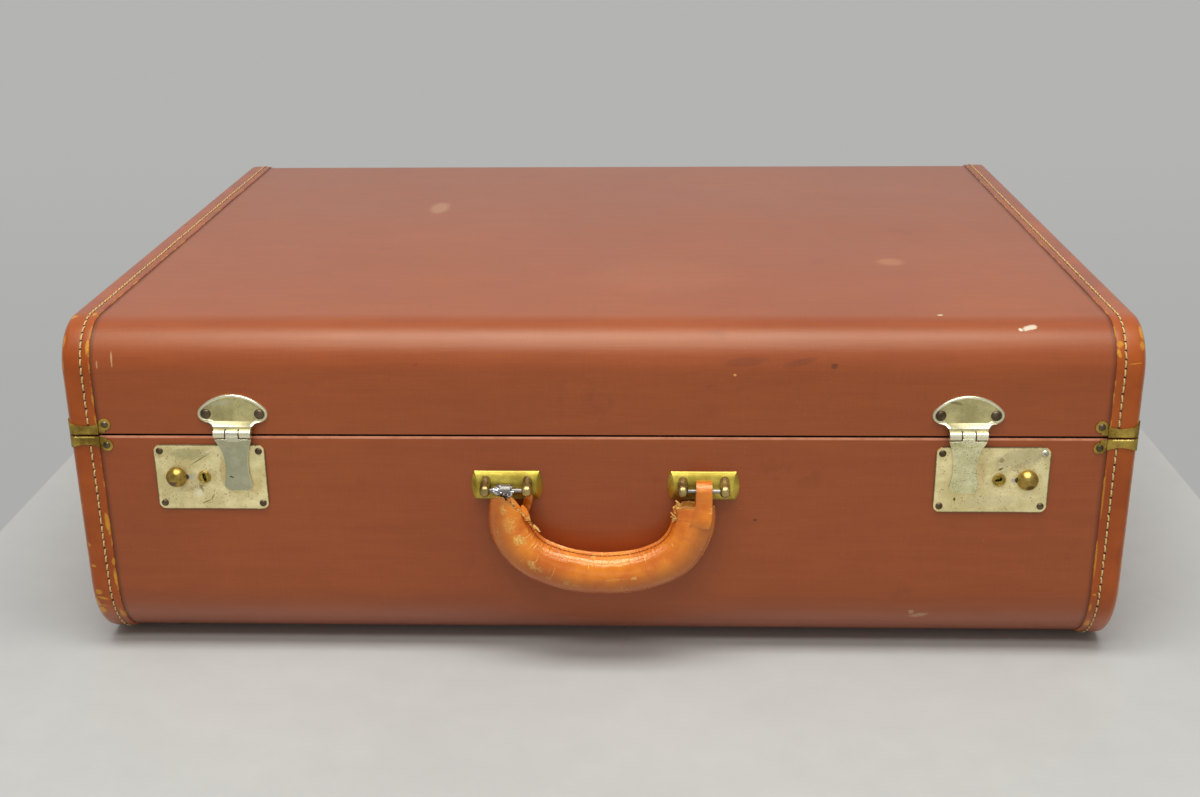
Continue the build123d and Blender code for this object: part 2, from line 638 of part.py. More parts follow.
def hasp_neck():
    """The sheet from the bend down to the knuckles, and the knuckles themselves."""
    sheet = HASP_PLATE_THICKNESS
    low, high = HASP_X - HASP_NECK_HALF_WIDTH, HASP_X + HASP_NECK_HALF_WIDTH
    top_z = HASP_AXIS_Z + HASP_KNUCKLE_RADIUS
    section = make_face(
        Polyline(
            (0, HASP_BEND_Z + sheet),
            (sheet, HASP_BEND_Z + sheet),
            (sheet, HASP_BEND_Z),
            (HASP_AXIS_OUT, top_z),
            (HASP_AXIS_OUT, HASP_AXIS_Z + HASP_PIN_RADIUS + sheet / 2),
            (HASP_AXIS_OUT - HASP_KNUCKLE_RADIUS * cos(radians(HASP_BEND_ANGLE)), HASP_AXIS_Z + sheet),
            (0, HASP_BEND_Z - sheet / 2),
            (0, HASP_BEND_Z + sheet),
        )
    )
    neck = side_section(section, low, high)
    neck += round_bar(HASP_KNUCKLE_RADIUS, low, high, HASP_AXIS_OUT, HASP_AXIS_Z)
    half = HASP_CENTRE_KNUCKLE / 2 + HASP_KNUCKLE_GAP
    clear = HASP_KNUCKLE_RADIUS + HASP_KNUCKLE_GAP
    neck -= round_bar(clear, HASP_X - half, HASP_X + half, HASP_AXIS_OUT, HASP_AXIS_Z)
    return neck - round_bar(HASP_PIN_RADIUS, low - sheet, high + sheet, HASP_AXIS_OUT, HASP_AXIS_Z)


def hasp_pin():
    """The pin, held fast in the plate's two knuckles."""
    low, high = HASP_X - HASP_NECK_HALF_WIDTH, HASP_X + HASP_NECK_HALF_WIDTH
    return round_bar(HASP_PIN_RADIUS, low, high, HASP_AXIS_OUT, HASP_AXIS_Z)


# Hasp flap: a waisted tongue that swings on the pin, with the hook on its back
def flap_face():
    """The flap's front-view outline: shoulders at the top, a waist and a rounded end."""
    half, waist, end = HASP_NECK_HALF_WIDTH, FLAP_WAIST_HALF_WIDTH, FLAP_END_HALF_WIDTH
    top_z, waist_z, end_z = -FLAP_TOP_DROP, -FLAP_WAIST_DROP, -FLAP_END_DROP
    top = Line((-half, top_z), (half, top_z))
    right_side = ThreePointArc((half, top_z), (waist, waist_z), (end, end_z))
    corners = (end, end_z), (end, -FLAP_BOTTOM_DROP), (-end, -FLAP_BOTTOM_DROP), (-end, end_z)
    left_side = ThreePointArc((-end, end_z), (-waist, waist_z), (-half, top_z))
    face = make_face(top + right_side + Polyline(*corners) + left_side)
    low = face.vertices().group_by(Axis.Y)[0]
    return Pos(HASP_X, HASP_AXIS_Z) * fillet(low, FLAP_END_RADIUS)


def hasp_flap():
    inner = LOCK_PLATE_THICKNESS + FLAP_PLATE_GAP
    outer = inner + FLAP_THICKNESS
    reach = HASP_AXIS_OUT + HASP_PIN_RADIUS / 2 - outer + FLAP_THICKNESS / 2
    bend_z = HASP_AXIS_Z - FLAP_BEND_DROP
    rise = FLAP_BEND_DROP - FLAP_TOP_DROP
    turn = 2 * atan2(reach, rise)
    radius = rise / sin(turn)
    foot_z = HASP_AXIS_Z - FLAP_BOTTOM_DROP - FLAP_THICKNESS
    outer_end = (outer + radius * (1 - cos(turn)), bend_z + radius * sin(turn))
    far = radius + FLAP_THICKNESS
    inner_end = (inner + far * (1 - cos(turn)), bend_z + far * sin(turn))
    outer_bend = TangentArc((outer, bend_z), outer_end, tangent=(0, 1))
    inner_bend = TangentArc((inner, bend_z), inner_end, tangent=(0, 1))
    edges = Polyline((outer, bend_z), (outer, foot_z), (inner, foot_z), (inner, bend_z))
    section = make_face(edges + outer_bend + inner_bend + Line(outer_end, inner_end))
    low, high = HASP_X - HASP_NECK_HALF_WIDTH, HASP_X + HASP_NECK_HALF_WIDTH
    tongue = side_section(section, low, high)
    tongue &= front_plate(flap_face(), 0, HASP_AXIS_OUT + HASP_KNUCKLE_RADIUS)
    half = HASP_CENTRE_KNUCKLE / 2
    across = HASP_KNUCKLE_RADIUS * cos(radians(HASP_BEND_ANGLE))
    along = HASP_KNUCKLE_RADIUS * sin(radians(HASP_BEND_ANGLE))
    web = make_face(
        Polyline(
            outer_end,
            (HASP_AXIS_OUT + across, HASP_AXIS_Z - along),
            (HASP_AXIS_OUT, HASP_AXIS_Z),
            (HASP_AXIS_OUT - HASP_PIN_RADIUS / 2, HASP_AXIS_Z - across),
            inner_bend @ (1 - FLAP_THICKNESS / rise),
            outer_bend @ (1 - FLAP_THICKNESS / rise),
            outer_end,
        )
    )
    tongue += side_section(web, HASP_X - half, HASP_X + half)
    tongue += round_bar(HASP_KNUCKLE_RADIUS, HASP_X - half, HASP_X + half, HASP_AXIS_OUT, HASP_AXIS_Z)
    bore = HASP_PIN_RADIUS + PIN_CLEARANCE
    return tongue - round_bar(bore, low, high, HASP_AXIS_OUT, HASP_AXIS_Z)


def hasp_hook():
    """A catch on the flap's back, notched on its inner side for the slide's nose."""
    back = LOCK_PLATE_THICKNESS + FLAP_PLATE_GAP
    block = front_plate(Pos(HASP_X, LOCK_Z) * Rectangle(HOOK_WIDTH, HOOK_HEIGHT), -HOOK_DEPTH, back)
    side = HASP_X - HOOK_WIDTH / 2
    notch = window(side, side + HOOK_NOTCH_DEPTH, LOCK_Z - HOOK_HEIGHT / 2, LOCK_Z + HOOK_HEIGHT / 2)
    depth = -SLIDE_CLEARANCE - SLIDE_THICKNESS - LATCH_CLEARANCE
    return block - front_plate(notch, depth, LATCH_CLEARANCE)


# Handle plates: a pressed brass pillow, with two lugs that go through it into the wall
def handle_plate(x):
    half = HANDLE_PLATE_HEIGHT / 2
    radius = (half**2 + HANDLE_PLATE_BULGE**2) / (2 * HANDLE_PLATE_BULGE)
    centre = HANDLE_PLATE_BULGE - radius
    wide = HANDLE_PLATE_WIDTH / 2
    pillow = round_bar(radius, x - wide, x + wide, centre, HANDLE_PLATE_Z)
    inner_radius = radius - HANDLE_PLATE_SHEET
    hollow_half = HANDLE_PLATE_TOP_WIDTH / 2 - HANDLE_PLATE_SHEET
    hollow = round_bar(inner_radius, x - hollow_half, x + hollow_half, centre, HANDLE_PLATE_Z)
    flat = HANDLE_PLATE_TOP_WIDTH / 2
    top, bottom = Line((-flat, half), (flat, half)), Line((flat, -half), (-flat, -half))
    right = ThreePointArc((flat, half), (wide, 0), (flat, -half))
    left = ThreePointArc((-flat, -half), (-wide, 0), (-flat, half))
    outline = make_face(top + right + bottom + left)
    bounds = front_plate(Pos(x, HANDLE_PLATE_Z) * outline, 0, HANDLE_PLATE_BULGE)
    return (pillow & bounds) - hollow


def handle_lug(x):
    """A lug with a round nose for the pin, and a shank riveted through the wall."""
    nose = Pos(PIN_OUT, PIN_Z) * Circle(LUG_NOSE_RADIUS)
    root_z = PIN_Z + LUG_ROOT_RISE
    root = make_face(
        Polyline(
            (0, root_z - LUG_ROOT_HEIGHT / 2),
            (PIN_OUT, PIN_Z - LUG_NOSE_RADIUS),
            (PIN_OUT, PIN_Z + LUG_NOSE_RADIUS),
            (0, root_z + LUG_ROOT_HEIGHT / 2),
            (0, root_z - LUG_ROOT_HEIGHT / 2),
        )
    )
    lug = side_section(nose + root, x - LUG_WIDTH / 2, x + LUG_WIDTH / 2)
    sides = lug.faces().filter_by(Axis.X)
    front_edges = [e for f in sides for e in f.edges() if e.center().Y < COVER_FRONT - HANDLE_PLATE_BULGE]
    lug = fillet(front_edges, LUG_EDGE_FILLET)
    shank = front_plate(Pos(x, root_z) * Circle(LUG_SHANK_RADIUS), -WALL_DEPTH + RIVET_CLINCH, 0)
    bore = round_bar(PIN_RADIUS, x - LUG_WIDTH, x + LUG_WIDTH, PIN_OUT, PIN_Z)
    return lug + shank - bore


def handle_pin(x):
    half = (LUG_SPACING + LUG_WIDTH) / 2
    return round_bar(PIN_RADIUS, x - half, x + half, PIN_OUT, PIN_Z)


# Handle: a bent steel core with an eye at each end, a leather grip round it and a loop over each eye
def handle_path():
    """The middle line of the grip, in the upright plane through the pins."""
    y = COVER_FRONT - PIN_OUT
    bend_z, top_z = PIN_Z - GRIP_BEND_DROP, PIN_Z - GRIP_TOP_DROP
    bottom = ThreePointArc(
        (HANDLE_X - GRIP_BEND_HALF, y, bend_z),
        (HANDLE_X, y, PIN_Z - GRIP_DROP),
        (HANDLE_X + GRIP_BEND_HALF, y, bend_z),
    )
    right = TangentArc(bottom @ 1, (HANDLE_X + GRIP_TOP_HALF, y, top_z), tangent=bottom % 1)
    left = TangentArc(bottom @ 0, (HANDLE_X - GRIP_TOP_HALF, y, top_z), tangent=(bottom % 0) * -1)
    return left, bottom, right


def grip_section(place, direction, share):
    """One cross-section of the grip, a share of the way from its left end to its right end."""
    swell = sin(pi * share) ** GRIP_FULLNESS
    thickness = GRIP_END_THICKNESS + (GRIP_THICKNESS - GRIP_END_THICKNESS) * swell
    return Plane(origin=place, x_dir=(0, 1, 0), z_dir=direction) * Ellipse(thickness / 2, GRIP_WIDTH / 2)


def hanging(shape):
    """The handle as it hangs, its foot leaning a little out from the wall."""
    return shape.rotate(Axis((HANDLE_X, COVER_FRONT - PIN_OUT, PIN_Z), (1, 0, 0)), -HANDLE_HANG)


def handle_core():
    left, bottom, right = handle_path()
    line = Wire([left, bottom, right])
    core = sweep(Plane(origin=line @ 0, z_dir=line % 0) * Circle(CORE_RADIUS), path=line)
    for end, side in ((left @ 1, -1), (right @ 1, 1)):
        eye_x = HANDLE_X + side * HANDLE_PLATE_OFFSET
        eye = Vector(eye_x, COVER_FRONT - PIN_OUT, PIN_Z)
        stem_line = eye - end
        stem = extrude(Plane(origin=end, z_dir=stem_line) * Circle(CORE_RADIUS), amount=stem_line.length)
        core = core + stem + Pos(end.X, end.Y, end.Z) * Sphere(CORE_RADIUS)
        core += round_bar(EYE_RADIUS, eye_x - EYE_WIDTH / 2, eye_x + EYE_WIDTH / 2, PIN_OUT, PIN_Z)
        core -= round_bar(
            PIN_RADIUS + PIN_CLEARANCE, eye_x - EYE_WIDTH, eye_x + EYE_WIDTH, PIN_OUT, PIN_Z
        )
    return core


def handle_loop(side):
    """A leather strap over the eye, its two legs tucked into the end of the grip."""
    x = HANDLE_X + side * HANDLE_PLATE_OFFSET
    inner, outer = EYE_RADIUS, EYE_RADIUS + LOOP_THICKNESS
    legs = Pos(PIN_OUT, PIN_Z - LOOP_LEG / 2) * Rectangle(2 * outer, LOOP_LEG)
    gap = Pos(PIN_OUT, PIN_Z - LOOP_LEG / 2) * Rectangle(2 * inner, LOOP_LEG)
    strap = Pos(PIN_OUT, PIN_Z) * Circle(outer) + legs - Pos(PIN_OUT, PIN_Z) * Circle(inner) - gap
    return side_section(strap, x - LOOP_WIDTH / 2, x + LOOP_WIDTH / 2)


def handle_grip():
    left, bottom, right = handle_path()
    line = Wire([left, bottom, right])
    shares = [i / (GRIP_SECTIONS - 1) for i in range(GRIP_SECTIONS)]
    return loft([grip_section(line @ share, line % share, share) for share in shares])


# Pieces that come in pairs are made on the right and mirrored
plates_x = [HANDLE_X + side * HANDLE_PLATE_OFFSET for side in (-1, 1)]
lugs = [handle_lug(x + place * LUG_SPACING / 2) for x in plates_x for place in (-1, 1)]
pins = [handle_pin(x) for x in plates_x]
lock_rivets = [front_rivet(LOCK_RIVET_RADIUS, x, z, LOCK_PLATE_THICKNESS) for x, z in lock_rivet_spots()]
lock_rivets += [flipped(one) for one in lock_rivets]
hasp_rivets = [
    front_rivet(HASP_RIVET_RADIUS, HASP_X + place * HASP_RIVET_OFFSET, HASP_RIVET_Z, HASP_PLATE_THICKNESS)
    for place in (-1, 1)
]
hasp_rivets += [flipped(one) for one in hasp_rivets]
mortises = [lock_mortise(), flipped(lock_mortise())]

# Base and lid: frame, covering, lining, bindings, corner clamps and hinges
for side, half in ((BASE, "base"), (LID, "lid")):
    through = clamp_rivets(side) + hinge_rivets(side)
    through += lugs + lock_rivets + mortises if side == BASE else hasp_rivets
    leather = binding(side)
    frame = wooden_frame(side)
    save(f"{half}_panel", bent_panel(frame) - through)
    save(f"{half}_end_right", end_board(frame))
    save(f"{half}_end_left", flipped(end_board(frame)))
    save(f"{half}_covering", covering(side) - [leather, flipped(leather)] - through)
    save(f"{half}_lining", lining(side))
    save(f"{half}_binding_right", leather)
    save(f"{half}_binding_left", flipped(leather))
    clamp = corner_clamp(side) - clamp_rivets(side)[0]
    save(f"{half}_clamp_front_right", clamp)
    save(f"{half}_clamp_front_left", flipped(clamp))
    save(f"{half}_clamp_rear_right", turned_back(clamp))
    save(f"{half}_clamp_rear_left", turned_back(flipped(clamp)))
    save(f"{half}_clamp_rivets", *clamp_rivets(side))
    leaf = hinge_leaf(side) - hinge_rivets(side)
    save(f"hinge_{half}_leaves", leaf, flipped(leaf))
    save(f"hinge_{half}_rivets", *hinge_rivets(side))
save("base_closing_lip", closing_lip())
save("hinge_pins", hinge_pin(), flipped(hinge_pin()))

# Locks and hasps
keyhole_turn = {"right": -90, "left": 0}
for name, placed in (("right", lambda shape: shape), ("left", flipped)):
    save(f"lock_plate_{name}", placed(lock_plate() - lock_rivets))
    save(f"lock_spring_{name}", placed(lock_spring()))
    save(f"latch_slide_{name}", placed(latch_slide()))
    save(f"latch_knob_{name}", placed(latch_knob()))
    save(f"key_barrel_{name}", placed(key_barrel()))
    save(f"key_plug_{name}", placed(key_plug(keyhole_turn[name])))
    save(f"hasp_plate_{name}", placed(hasp_plate() - hasp_rivets))
    save(f"hasp_flap_{name}", placed(hasp_flap()))
    save(f"hasp_hook_{name}", placed(hasp_hook()))
save("lock_cases", lock_case(), flipped(lock_case()))
save("lock_plate_rivets", *lock_rivets)
save("hasp_rivets", *hasp_rivets)
save("hasp_pins", hasp_pin(), flipped(hasp_pin()))

# Handle
save("handle_plate_left", handle_plate(plates_x[0]) - lugs)
save("handle_plate_right", handle_plate(plates_x[1]) - lugs)
save("handle_lugs", *lugs)
save("handle_pins", *pins)
loops = [handle_loop(side) for side in (-1, 1)]
save("handle_grip", hanging(handle_grip() - handle_core() - loops))
save("handle_core", hanging(handle_core()))
save("handle_loop_left", hanging(loops[0] - handle_core()))
save("handle_loop_right", hanging(loops[1] - handle_core()))
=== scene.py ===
from cmath import phase, rect
from math import asin, cos, exp, pi, radians, sin, sqrt
import bmesh
import bpy
from mathutils import Matrix, Vector, noise
from mathutils.geometry import delaunay_2d_cdt


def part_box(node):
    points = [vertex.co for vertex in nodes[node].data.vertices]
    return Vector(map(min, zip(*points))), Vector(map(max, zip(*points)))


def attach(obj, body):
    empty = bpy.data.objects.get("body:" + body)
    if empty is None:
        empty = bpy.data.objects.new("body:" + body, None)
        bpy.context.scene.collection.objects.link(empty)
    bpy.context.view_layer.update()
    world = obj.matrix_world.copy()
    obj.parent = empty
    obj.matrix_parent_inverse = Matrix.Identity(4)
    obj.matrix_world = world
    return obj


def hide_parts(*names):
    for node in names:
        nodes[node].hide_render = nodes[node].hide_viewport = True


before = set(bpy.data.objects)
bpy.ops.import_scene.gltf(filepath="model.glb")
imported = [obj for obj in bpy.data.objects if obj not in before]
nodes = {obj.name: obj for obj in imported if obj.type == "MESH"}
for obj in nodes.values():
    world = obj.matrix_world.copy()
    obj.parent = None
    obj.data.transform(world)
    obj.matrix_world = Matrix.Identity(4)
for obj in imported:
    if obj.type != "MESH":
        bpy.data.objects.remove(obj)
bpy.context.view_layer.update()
HALVES = ("base", "lid")
SIDES = {"left": -1, "right": 1}


# Covering of the base and the lid: linen-grained coated cloth, glued over the wooden boards and turned
# over their rims. It is red-brown and satin, with fine crosswise threads, and has scratches and
# smudges from travel. Shade beside the bindings and in the seam, a highlight along the base's rim
# (partly rub wear there) and a lighter top face are painted into its colour.
COVER_COLOUR, COVER_DEEP, SEAM_PAINTED_SHADE = (161, 78, 34), (146, 66, 28), (44, 18, 13)
COVER_RIM_EASE = 0.0008
BASE_RIM_Z, LID_RIM_Z, EDGE_FADE = 0.1529, 0.1539, 0.0002
TOP_Z, TOP_FADE, TOP_MARKS_Z = 0.2238, 0.0022, 222.5
MARKS_ON_COVER = (
    # place and half-sizes in mm, turn in the front view, colour, strength
    (261.5, -238.4, 218.9, 6.2, 1.3, 8, (232, 216, 190), 0.85),
    (256, -239.6, 218.2, 2, 1, -20, (240, 226, 200), 0.9),
    (209.9, -224.4, 222.8, 2.2, 1.5, 30, (228, 214, 186), 0.8),
    (-298.1, -251.2, 203, 0.7, 6.2, 3, (214, 178, 128), 0.6),
    (-307.3, -252.3, 199.5, 0.6, 3.2, 0, (210, 172, 124), 0.55),
    (205, -247.6, 28, 7.5, 2.2, 14, (188, 150, 116), 0.55),
    (200, -249, 31, 2.2, 3, 0, (196, 158, 124), 0.5),
    (-136.5, 66.4, 222.8, 9, 24, 0, (214, 168, 138), 0.3),
    (83.5, -252.8, 193.5, 1.2, 1, 0, (222, 178, 96), 0.8),
    (89, -252, 201.5, 17, 3.4, 4, (90, 38, 30), 0.3),
    (122.5, -251.8, 201.2, 12, 2.8, 12, (96, 40, 32), 0.34),
    (143.6, -252.3, 199.2, 2.6, 2.2, 0, (70, 26, 24), 0.6),
    (-111, -252.3, 199.5, 2.8, 1.1, 30, (150, 40, 32), 0.6),
    (-60, -252.8, 110.7, 1.1, 1.1, 0, (40, 16, 12), 0.8),
    (98.1, -252.8, 97.1, 1.4, 1.1, 0, (50, 20, 16), 0.7),
    (197.7, -100.1, 222.8, 12, 12, 0, (206, 140, 104), 0.28),
    (40, -134, 222.8, 60, 50, 0, (196, 120, 80), 0.10),
)


def tint(red, green, blue):
    """A colour written as it shows, 0 to 255, as the shader wants it."""
    linear = [c / 255 / 12.92 if c <= 10 else ((c / 255 + 0.055) / 1.055) ** 2.4 for c in (red, green, blue)]
    return (*linear, 1.0)


def join(value, socket):
    """A link from another socket, or a plain value. A colour of three numbers is one as it shows."""
    if isinstance(value, bpy.types.NodeSocket):
        socket.id_data.links.new(value, socket)
    else:
        socket.default_value = tint(*value) if socket.type == "RGBA" and len(value) == 3 else value


def wire(tree, kind, settings=(), **inputs):
    """One node in a tree. Inputs are values or sockets, by name, or by number as in _0."""
    made = tree.nodes.new(kind)
    for key, value in dict(settings).items():
        setattr(made, key, value)
    for key, value in inputs.items():
        join(value, made.inputs[int(key[1:]) if key[0] == "_" else key.replace("_", " ")])
    return made


def math_of(operation, *values):
    """A value worked out from others, of which one or more are sockets."""
    tree = next(value.id_data for value in values if isinstance(value, bpy.types.NodeSocket))
    inputs = {f"_{i}": value for i, value in enumerate(values)}
    return wire(tree, "ShaderNodeMath", {"operation": operation}, **inputs).outputs[0]


def times(first, second):
    return math_of("MULTIPLY", first, second)


def plus(first, second):
    return math_of("ADD", first, second)


def larger(first, second):
    return math_of("MAXIMUM", first, second)


def spread(value, gain, start):
    """A value times a gain, plus a start."""
    return math_of("MULTIPLY_ADD", value, gain, start)


def apart(value, middle):
    """How far a value is from a middle."""
    return math_of("ABSOLUTE", math_of("SUBTRACT", value, middle))


def stepped(value, low, high, to_low=0.0, to_high=1.0):
    """A smooth step of a value between two levels."""
    settings = {"interpolation_type": "SMOOTHSTEP"}
    made = wire(value.id_data, "ShaderNodeMapRange", settings, _0=value, _1=low, _2=high, _3=to_low, _4=to_high)
    return made.outputs[0]


def band(value, low, from_, to, high):
    """1 from one level to another, and fading to 0 at a lower and a higher one."""
    return times(stepped(value, low, from_), stepped(value, high, to))


def mixed(share, first, second, blend="MIX"):
    """Two colours mixed by a share."""
    settings = {"data_type": "RGBA", "blend_type": blend}
    return wire(share.id_data, "ShaderNodeMix", settings, _0=share, _6=first, _7=second).outputs[2]


def painted(colour, share, paint, strength=1.0):
    """A colour with another over it."""
    return mixed(share if strength == 1.0 else times(share, strength), colour, paint)


def axis_of(place, axis):
    return wire(place.id_data, "ShaderNodeSeparateXYZ", Vector=place).outputs[axis]


def vector_of(operation, first, second):
    """A place worked out from two, as the outputs of its node."""
    return wire(first.id_data, "ShaderNodeVectorMath", {"operation": operation}, _0=first, _1=second).outputs


def scaled(place, factor):
    return wire(place.id_data, "ShaderNodeVectorMath", {"operation": "SCALE"}, _0=place, Scale=factor).outputs[0]


def noise_of(place, scale, detail=2.0, rough=0.5, stretch=(1, 1, 1)):
    """Noise in the piece's own space, per metre, drawn out along the axes by stretch."""
    spot = vector_of("MULTIPLY", place, [scale * s for s in stretch])[0]
    made = wire(place.id_data, "ShaderNodeTexNoise", Vector=spot, Scale=1.0, Detail=detail, Roughness=rough)
    return made.outputs["Fac"]


def new_group(kind, name, inputs, outputs):
    """A node group with named inputs and outputs, and its two end nodes."""
    tree = bpy.data.node_groups.new(name, kind + "NodeTree")
    for way, sockets in (("INPUT", inputs), ("OUTPUT", outputs)):
        for key, (socket_kind, *value) in sockets.items():
            made = tree.interface.new_socket(key, in_out=way, socket_type="NodeSocket" + socket_kind)
            if value:
                made.default_value = value[0]
    return tree, tree.nodes.new("NodeGroupInput").outputs, tree.nodes.new("NodeGroupOutput").inputs


def placed(group, place, **inputs):
    """A group in a material, with its own values."""
    return wire(place.id_data, "ShaderNodeGroup", {"node_tree": group}, Place=place, **inputs).outputs


def new_material(name):
    """A material and its Object coordinates."""
    made = bpy.data.materials.new(name)
    made.use_nodes = True
    return made, wire(made.node_tree, "ShaderNodeTexCoord").outputs["Object"]


def surfaced(made, colour, rough, height, strength, distance, **more):
    """A material's surface: its colour, roughness and relief, and what else is given."""
    bump = wire(made.node_tree, "ShaderNodeBump", Height=height, Strength=strength, Distance=distance)
    shader = made.node_tree.nodes["Principled BSDF"]
    for key, value in {"Base_Color": colour, "Roughness": rough, "Normal": bump.outputs[0], **more}.items():
        join(value, shader.inputs[key.replace("_", " ")])
    return made


def veil(place):
    """The weight of a coat that shows only at a glancing view, as polish on cloth and leather does."""
    glance = wire(place.id_data, "ShaderNodeLayerWeight", Blend=0.5).outputs["Facing"]
    return stepped(glance, 0.22, 0.62, 0.04, 0.75)


NOWHERE = ("Vector", (0, 0, 0))
mark_group, given, out = new_group(
    "Shader", "wear_and_shade_mark",
    {"Place": NOWHERE, "Centre": NOWHERE, "Half sizes": ("Vector", (0.01, 0.01, 0.01)), "Turn": ("Float", 0)},
    {"Mask": ("Float",)},
)
away = vector_of("SUBTRACT", given["Place"], given["Centre"])[0]
settings = {"rotation_type": "Y_AXIS"}
turned = wire(mark_group, "ShaderNodeVectorRotate", settings, Vector=away, Angle=given["Turn"]).outputs[0]
reach = vector_of("LENGTH", vector_of("DIVIDE", turned, given["Half sizes"])[0], (0, 0, 0))["Value"]
ragged = spread(noise_of(given["Place"], 620, 3, 0.65), 1.1, reach)
join(stepped(ragged, 1.55, 1.05), out["Mask"])


def mark_mask(place, x, y, z, across, tall, turn, deep=None, top_painted_lighter=False):
    """1 inside a mark of wear, stain or painted shade, with ragged edges. Its place and half-sizes are in mm."""
    deep = deep or max(across, tall)
    half = (across, tall, deep) if top_painted_lighter else (across, deep, tall)
    centre, half = Vector((x, y, z)) / 1000, Vector(half) / 1000
    return placed(mark_group, place, Centre=centre, Half_sizes=half, Turn=radians(turn))["Mask"]


def marked(colour, place, marks, deep=None):
    """A colour with the marks painted over it, one after another."""
    for *where, paint, strength in marks:
        mask = mark_mask(place, *where, deep, where[2] > TOP_MARKS_Z)
        colour = mixed(times(mask, strength), colour, paint)
    return colour


def worn_at(place, marks, deep=None):
    """How bare the surface is, from its worn marks."""
    bare = 0.0
    for *where, strength in marks:
        bare = larger(bare, times(mark_mask(place, *where, deep), strength))
    return bare


linen_group, given, out = new_group(
    "Shader", "linen_grain", {"Place": NOWHERE, "Threads per metre": ("Float", 1000)},
    {"Height": ("Float",), "Tone": ("Float",)},
)
spun = scaled(given["Place"], given["Threads per metre"])
warp = noise_of(spun, 1.15, 2, 0.6, (1.0, 0.05, 0.05))
grain = spread(noise_of(spun, 1.0, 2, 0.6, (0.045, 1.0, 1.0)), 1.4, warp)
slub = noise_of(spun, 0.16, 3, 0.6, (0.12, 1.0, 1.0))
join(grain, out["Height"])
join(spread(slub, 0.6, times(grain, 0.35)), out["Tone"])


def as_mesh(work, outward=False):
    """What a bmesh holds, as a mesh, its normals turned outward where asked."""
    if outward:
        bmesh.ops.recalc_face_normals(work, faces=work.faces)
    mesh = bpy.data.meshes.new("shape")
    work.to_mesh(mesh)
    work.free()
    return mesh


def set_down(name, data):
    """A new object in the scene."""
    made = bpy.data.objects.new(name, data)
    bpy.context.scene.collection.objects.link(made)
    return made


def finished(name, mesh, material, body, replaced=(), sharp=38):
    """The piece itself: in place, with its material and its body. A mesh grown by a geometry
    tree has its materials already."""
    piece, mesh.name = set_down(name, mesh), name
    mesh.shade_smooth()
    if material:
        mesh.materials.clear()
        mesh.materials.append(material)
        mesh.set_sharp_from_angle(angle=radians(sharp))
    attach(piece, body)
    if replaced:
        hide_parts(*replaced)


def eased(node, width, chosen=None, segments=2):
    """A copy of a CAD node, its loose triangles merged and its flat faces made whole, with its sharp
    edges rounded, or only those chosen."""
    work = bmesh.new()
    work.from_mesh(nodes[node].data)
    bmesh.ops.remove_doubles(work, verts=work.verts, dist=2e-6)
    bmesh.ops.dissolve_limit(work, angle_limit=radians(0.8), verts=work.verts, edges=work.edges)
    mesh = as_mesh(work)
    piece = set_down("work", mesh)
    rounding = piece.modifiers.new("round", "BEVEL")
    rounding.width, rounding.segments, rounding.use_clamp_overlap = width, segments, True
    if chosen:
        rounding.limit_method = "WEIGHT"
        weights = mesh.attributes.new("bevel_weight_edge", "FLOAT", "EDGE")
        for edge_ in mesh.edges:
            ends = [mesh.vertices[i].co for i in edge_.vertices]
            weights.data[edge_.index].value = 1.0 if chosen(*ends) else 0.0
    else:
        rounding.limit_method, rounding.angle_limit = "ANGLE", radians(32)
    result = bpy.data.meshes.new_from_object(piece.evaluated_get(bpy.context.evaluated_depsgraph_get()))
    bpy.data.objects.remove(piece)
    if result.attributes.get("bevel_weight_edge"):
        result.attributes.remove(result.attributes["bevel_weight_edge"])
    return result


def dressed(node, name, width, material, body):
    """A piece that is its CAD node with eased edges."""
    finished(name, eased(node, width), material, body, [node])


cloth, place = new_material("red_brown_coated_linen")
linen = placed(linen_group, place, Threads_per_metre=1050.0)
shade = plus(times(stepped(linen["Tone"], 0.4, 1.1), 0.5), times(noise_of(place, 7, 4, 0.6), 0.9))
colour = mixed(stepped(shade, 0.25, 1.2), COVER_DEEP, COVER_COLOUR)
flecks = stepped(noise_of(place, 900, 1, 0.5), 0.765, 0.80)
colour = painted(colour, flecks, (196, 136, 92), 0.4)
soil = stepped(noise_of(place, 26, 5, 0.7), 0.60, 0.78)
colour = painted(colour, soil, (84, 38, 30), 0.28)
# Painted shadow: a dark band on the cloth beside each binding's inner edge, where the binding shades it.
painted_shadow_by_binding = band(math_of("ABSOLUTE", axis_of(place, "X")), 0.3082, 0.3117, 0.3180, 0.3200)
colour = painted(colour, painted_shadow_by_binding, (62, 28, 24), 0.62)
up = axis_of(place, "Z")
# Painted shade in the seam: the rim faces in the gap between base and lid are painted near-black.
colour = painted(colour, band(up, BASE_RIM_Z - EDGE_FADE, BASE_RIM_Z, LID_RIM_Z, LID_RIM_Z + EDGE_FADE), SEAM_PAINTED_SHADE)
# A light band painted along the base's rim just under the seam: partly rub wear, partly a painted highlight where the
# rounded rim catches the light.
patchy = stepped(noise_of(place, 60, 4, 0.7), 0.3, 0.6, 0.45, 0.95)
rim_highlight_and_wear = band(up, BASE_RIM_Z - 0.0021, BASE_RIM_Z - 0.0011, BASE_RIM_Z - EDGE_FADE, BASE_RIM_Z)
colour = painted(colour, times(rim_highlight_and_wear, patchy), (222, 146, 112))
colour = marked(colour, place, MARKS_ON_COVER)
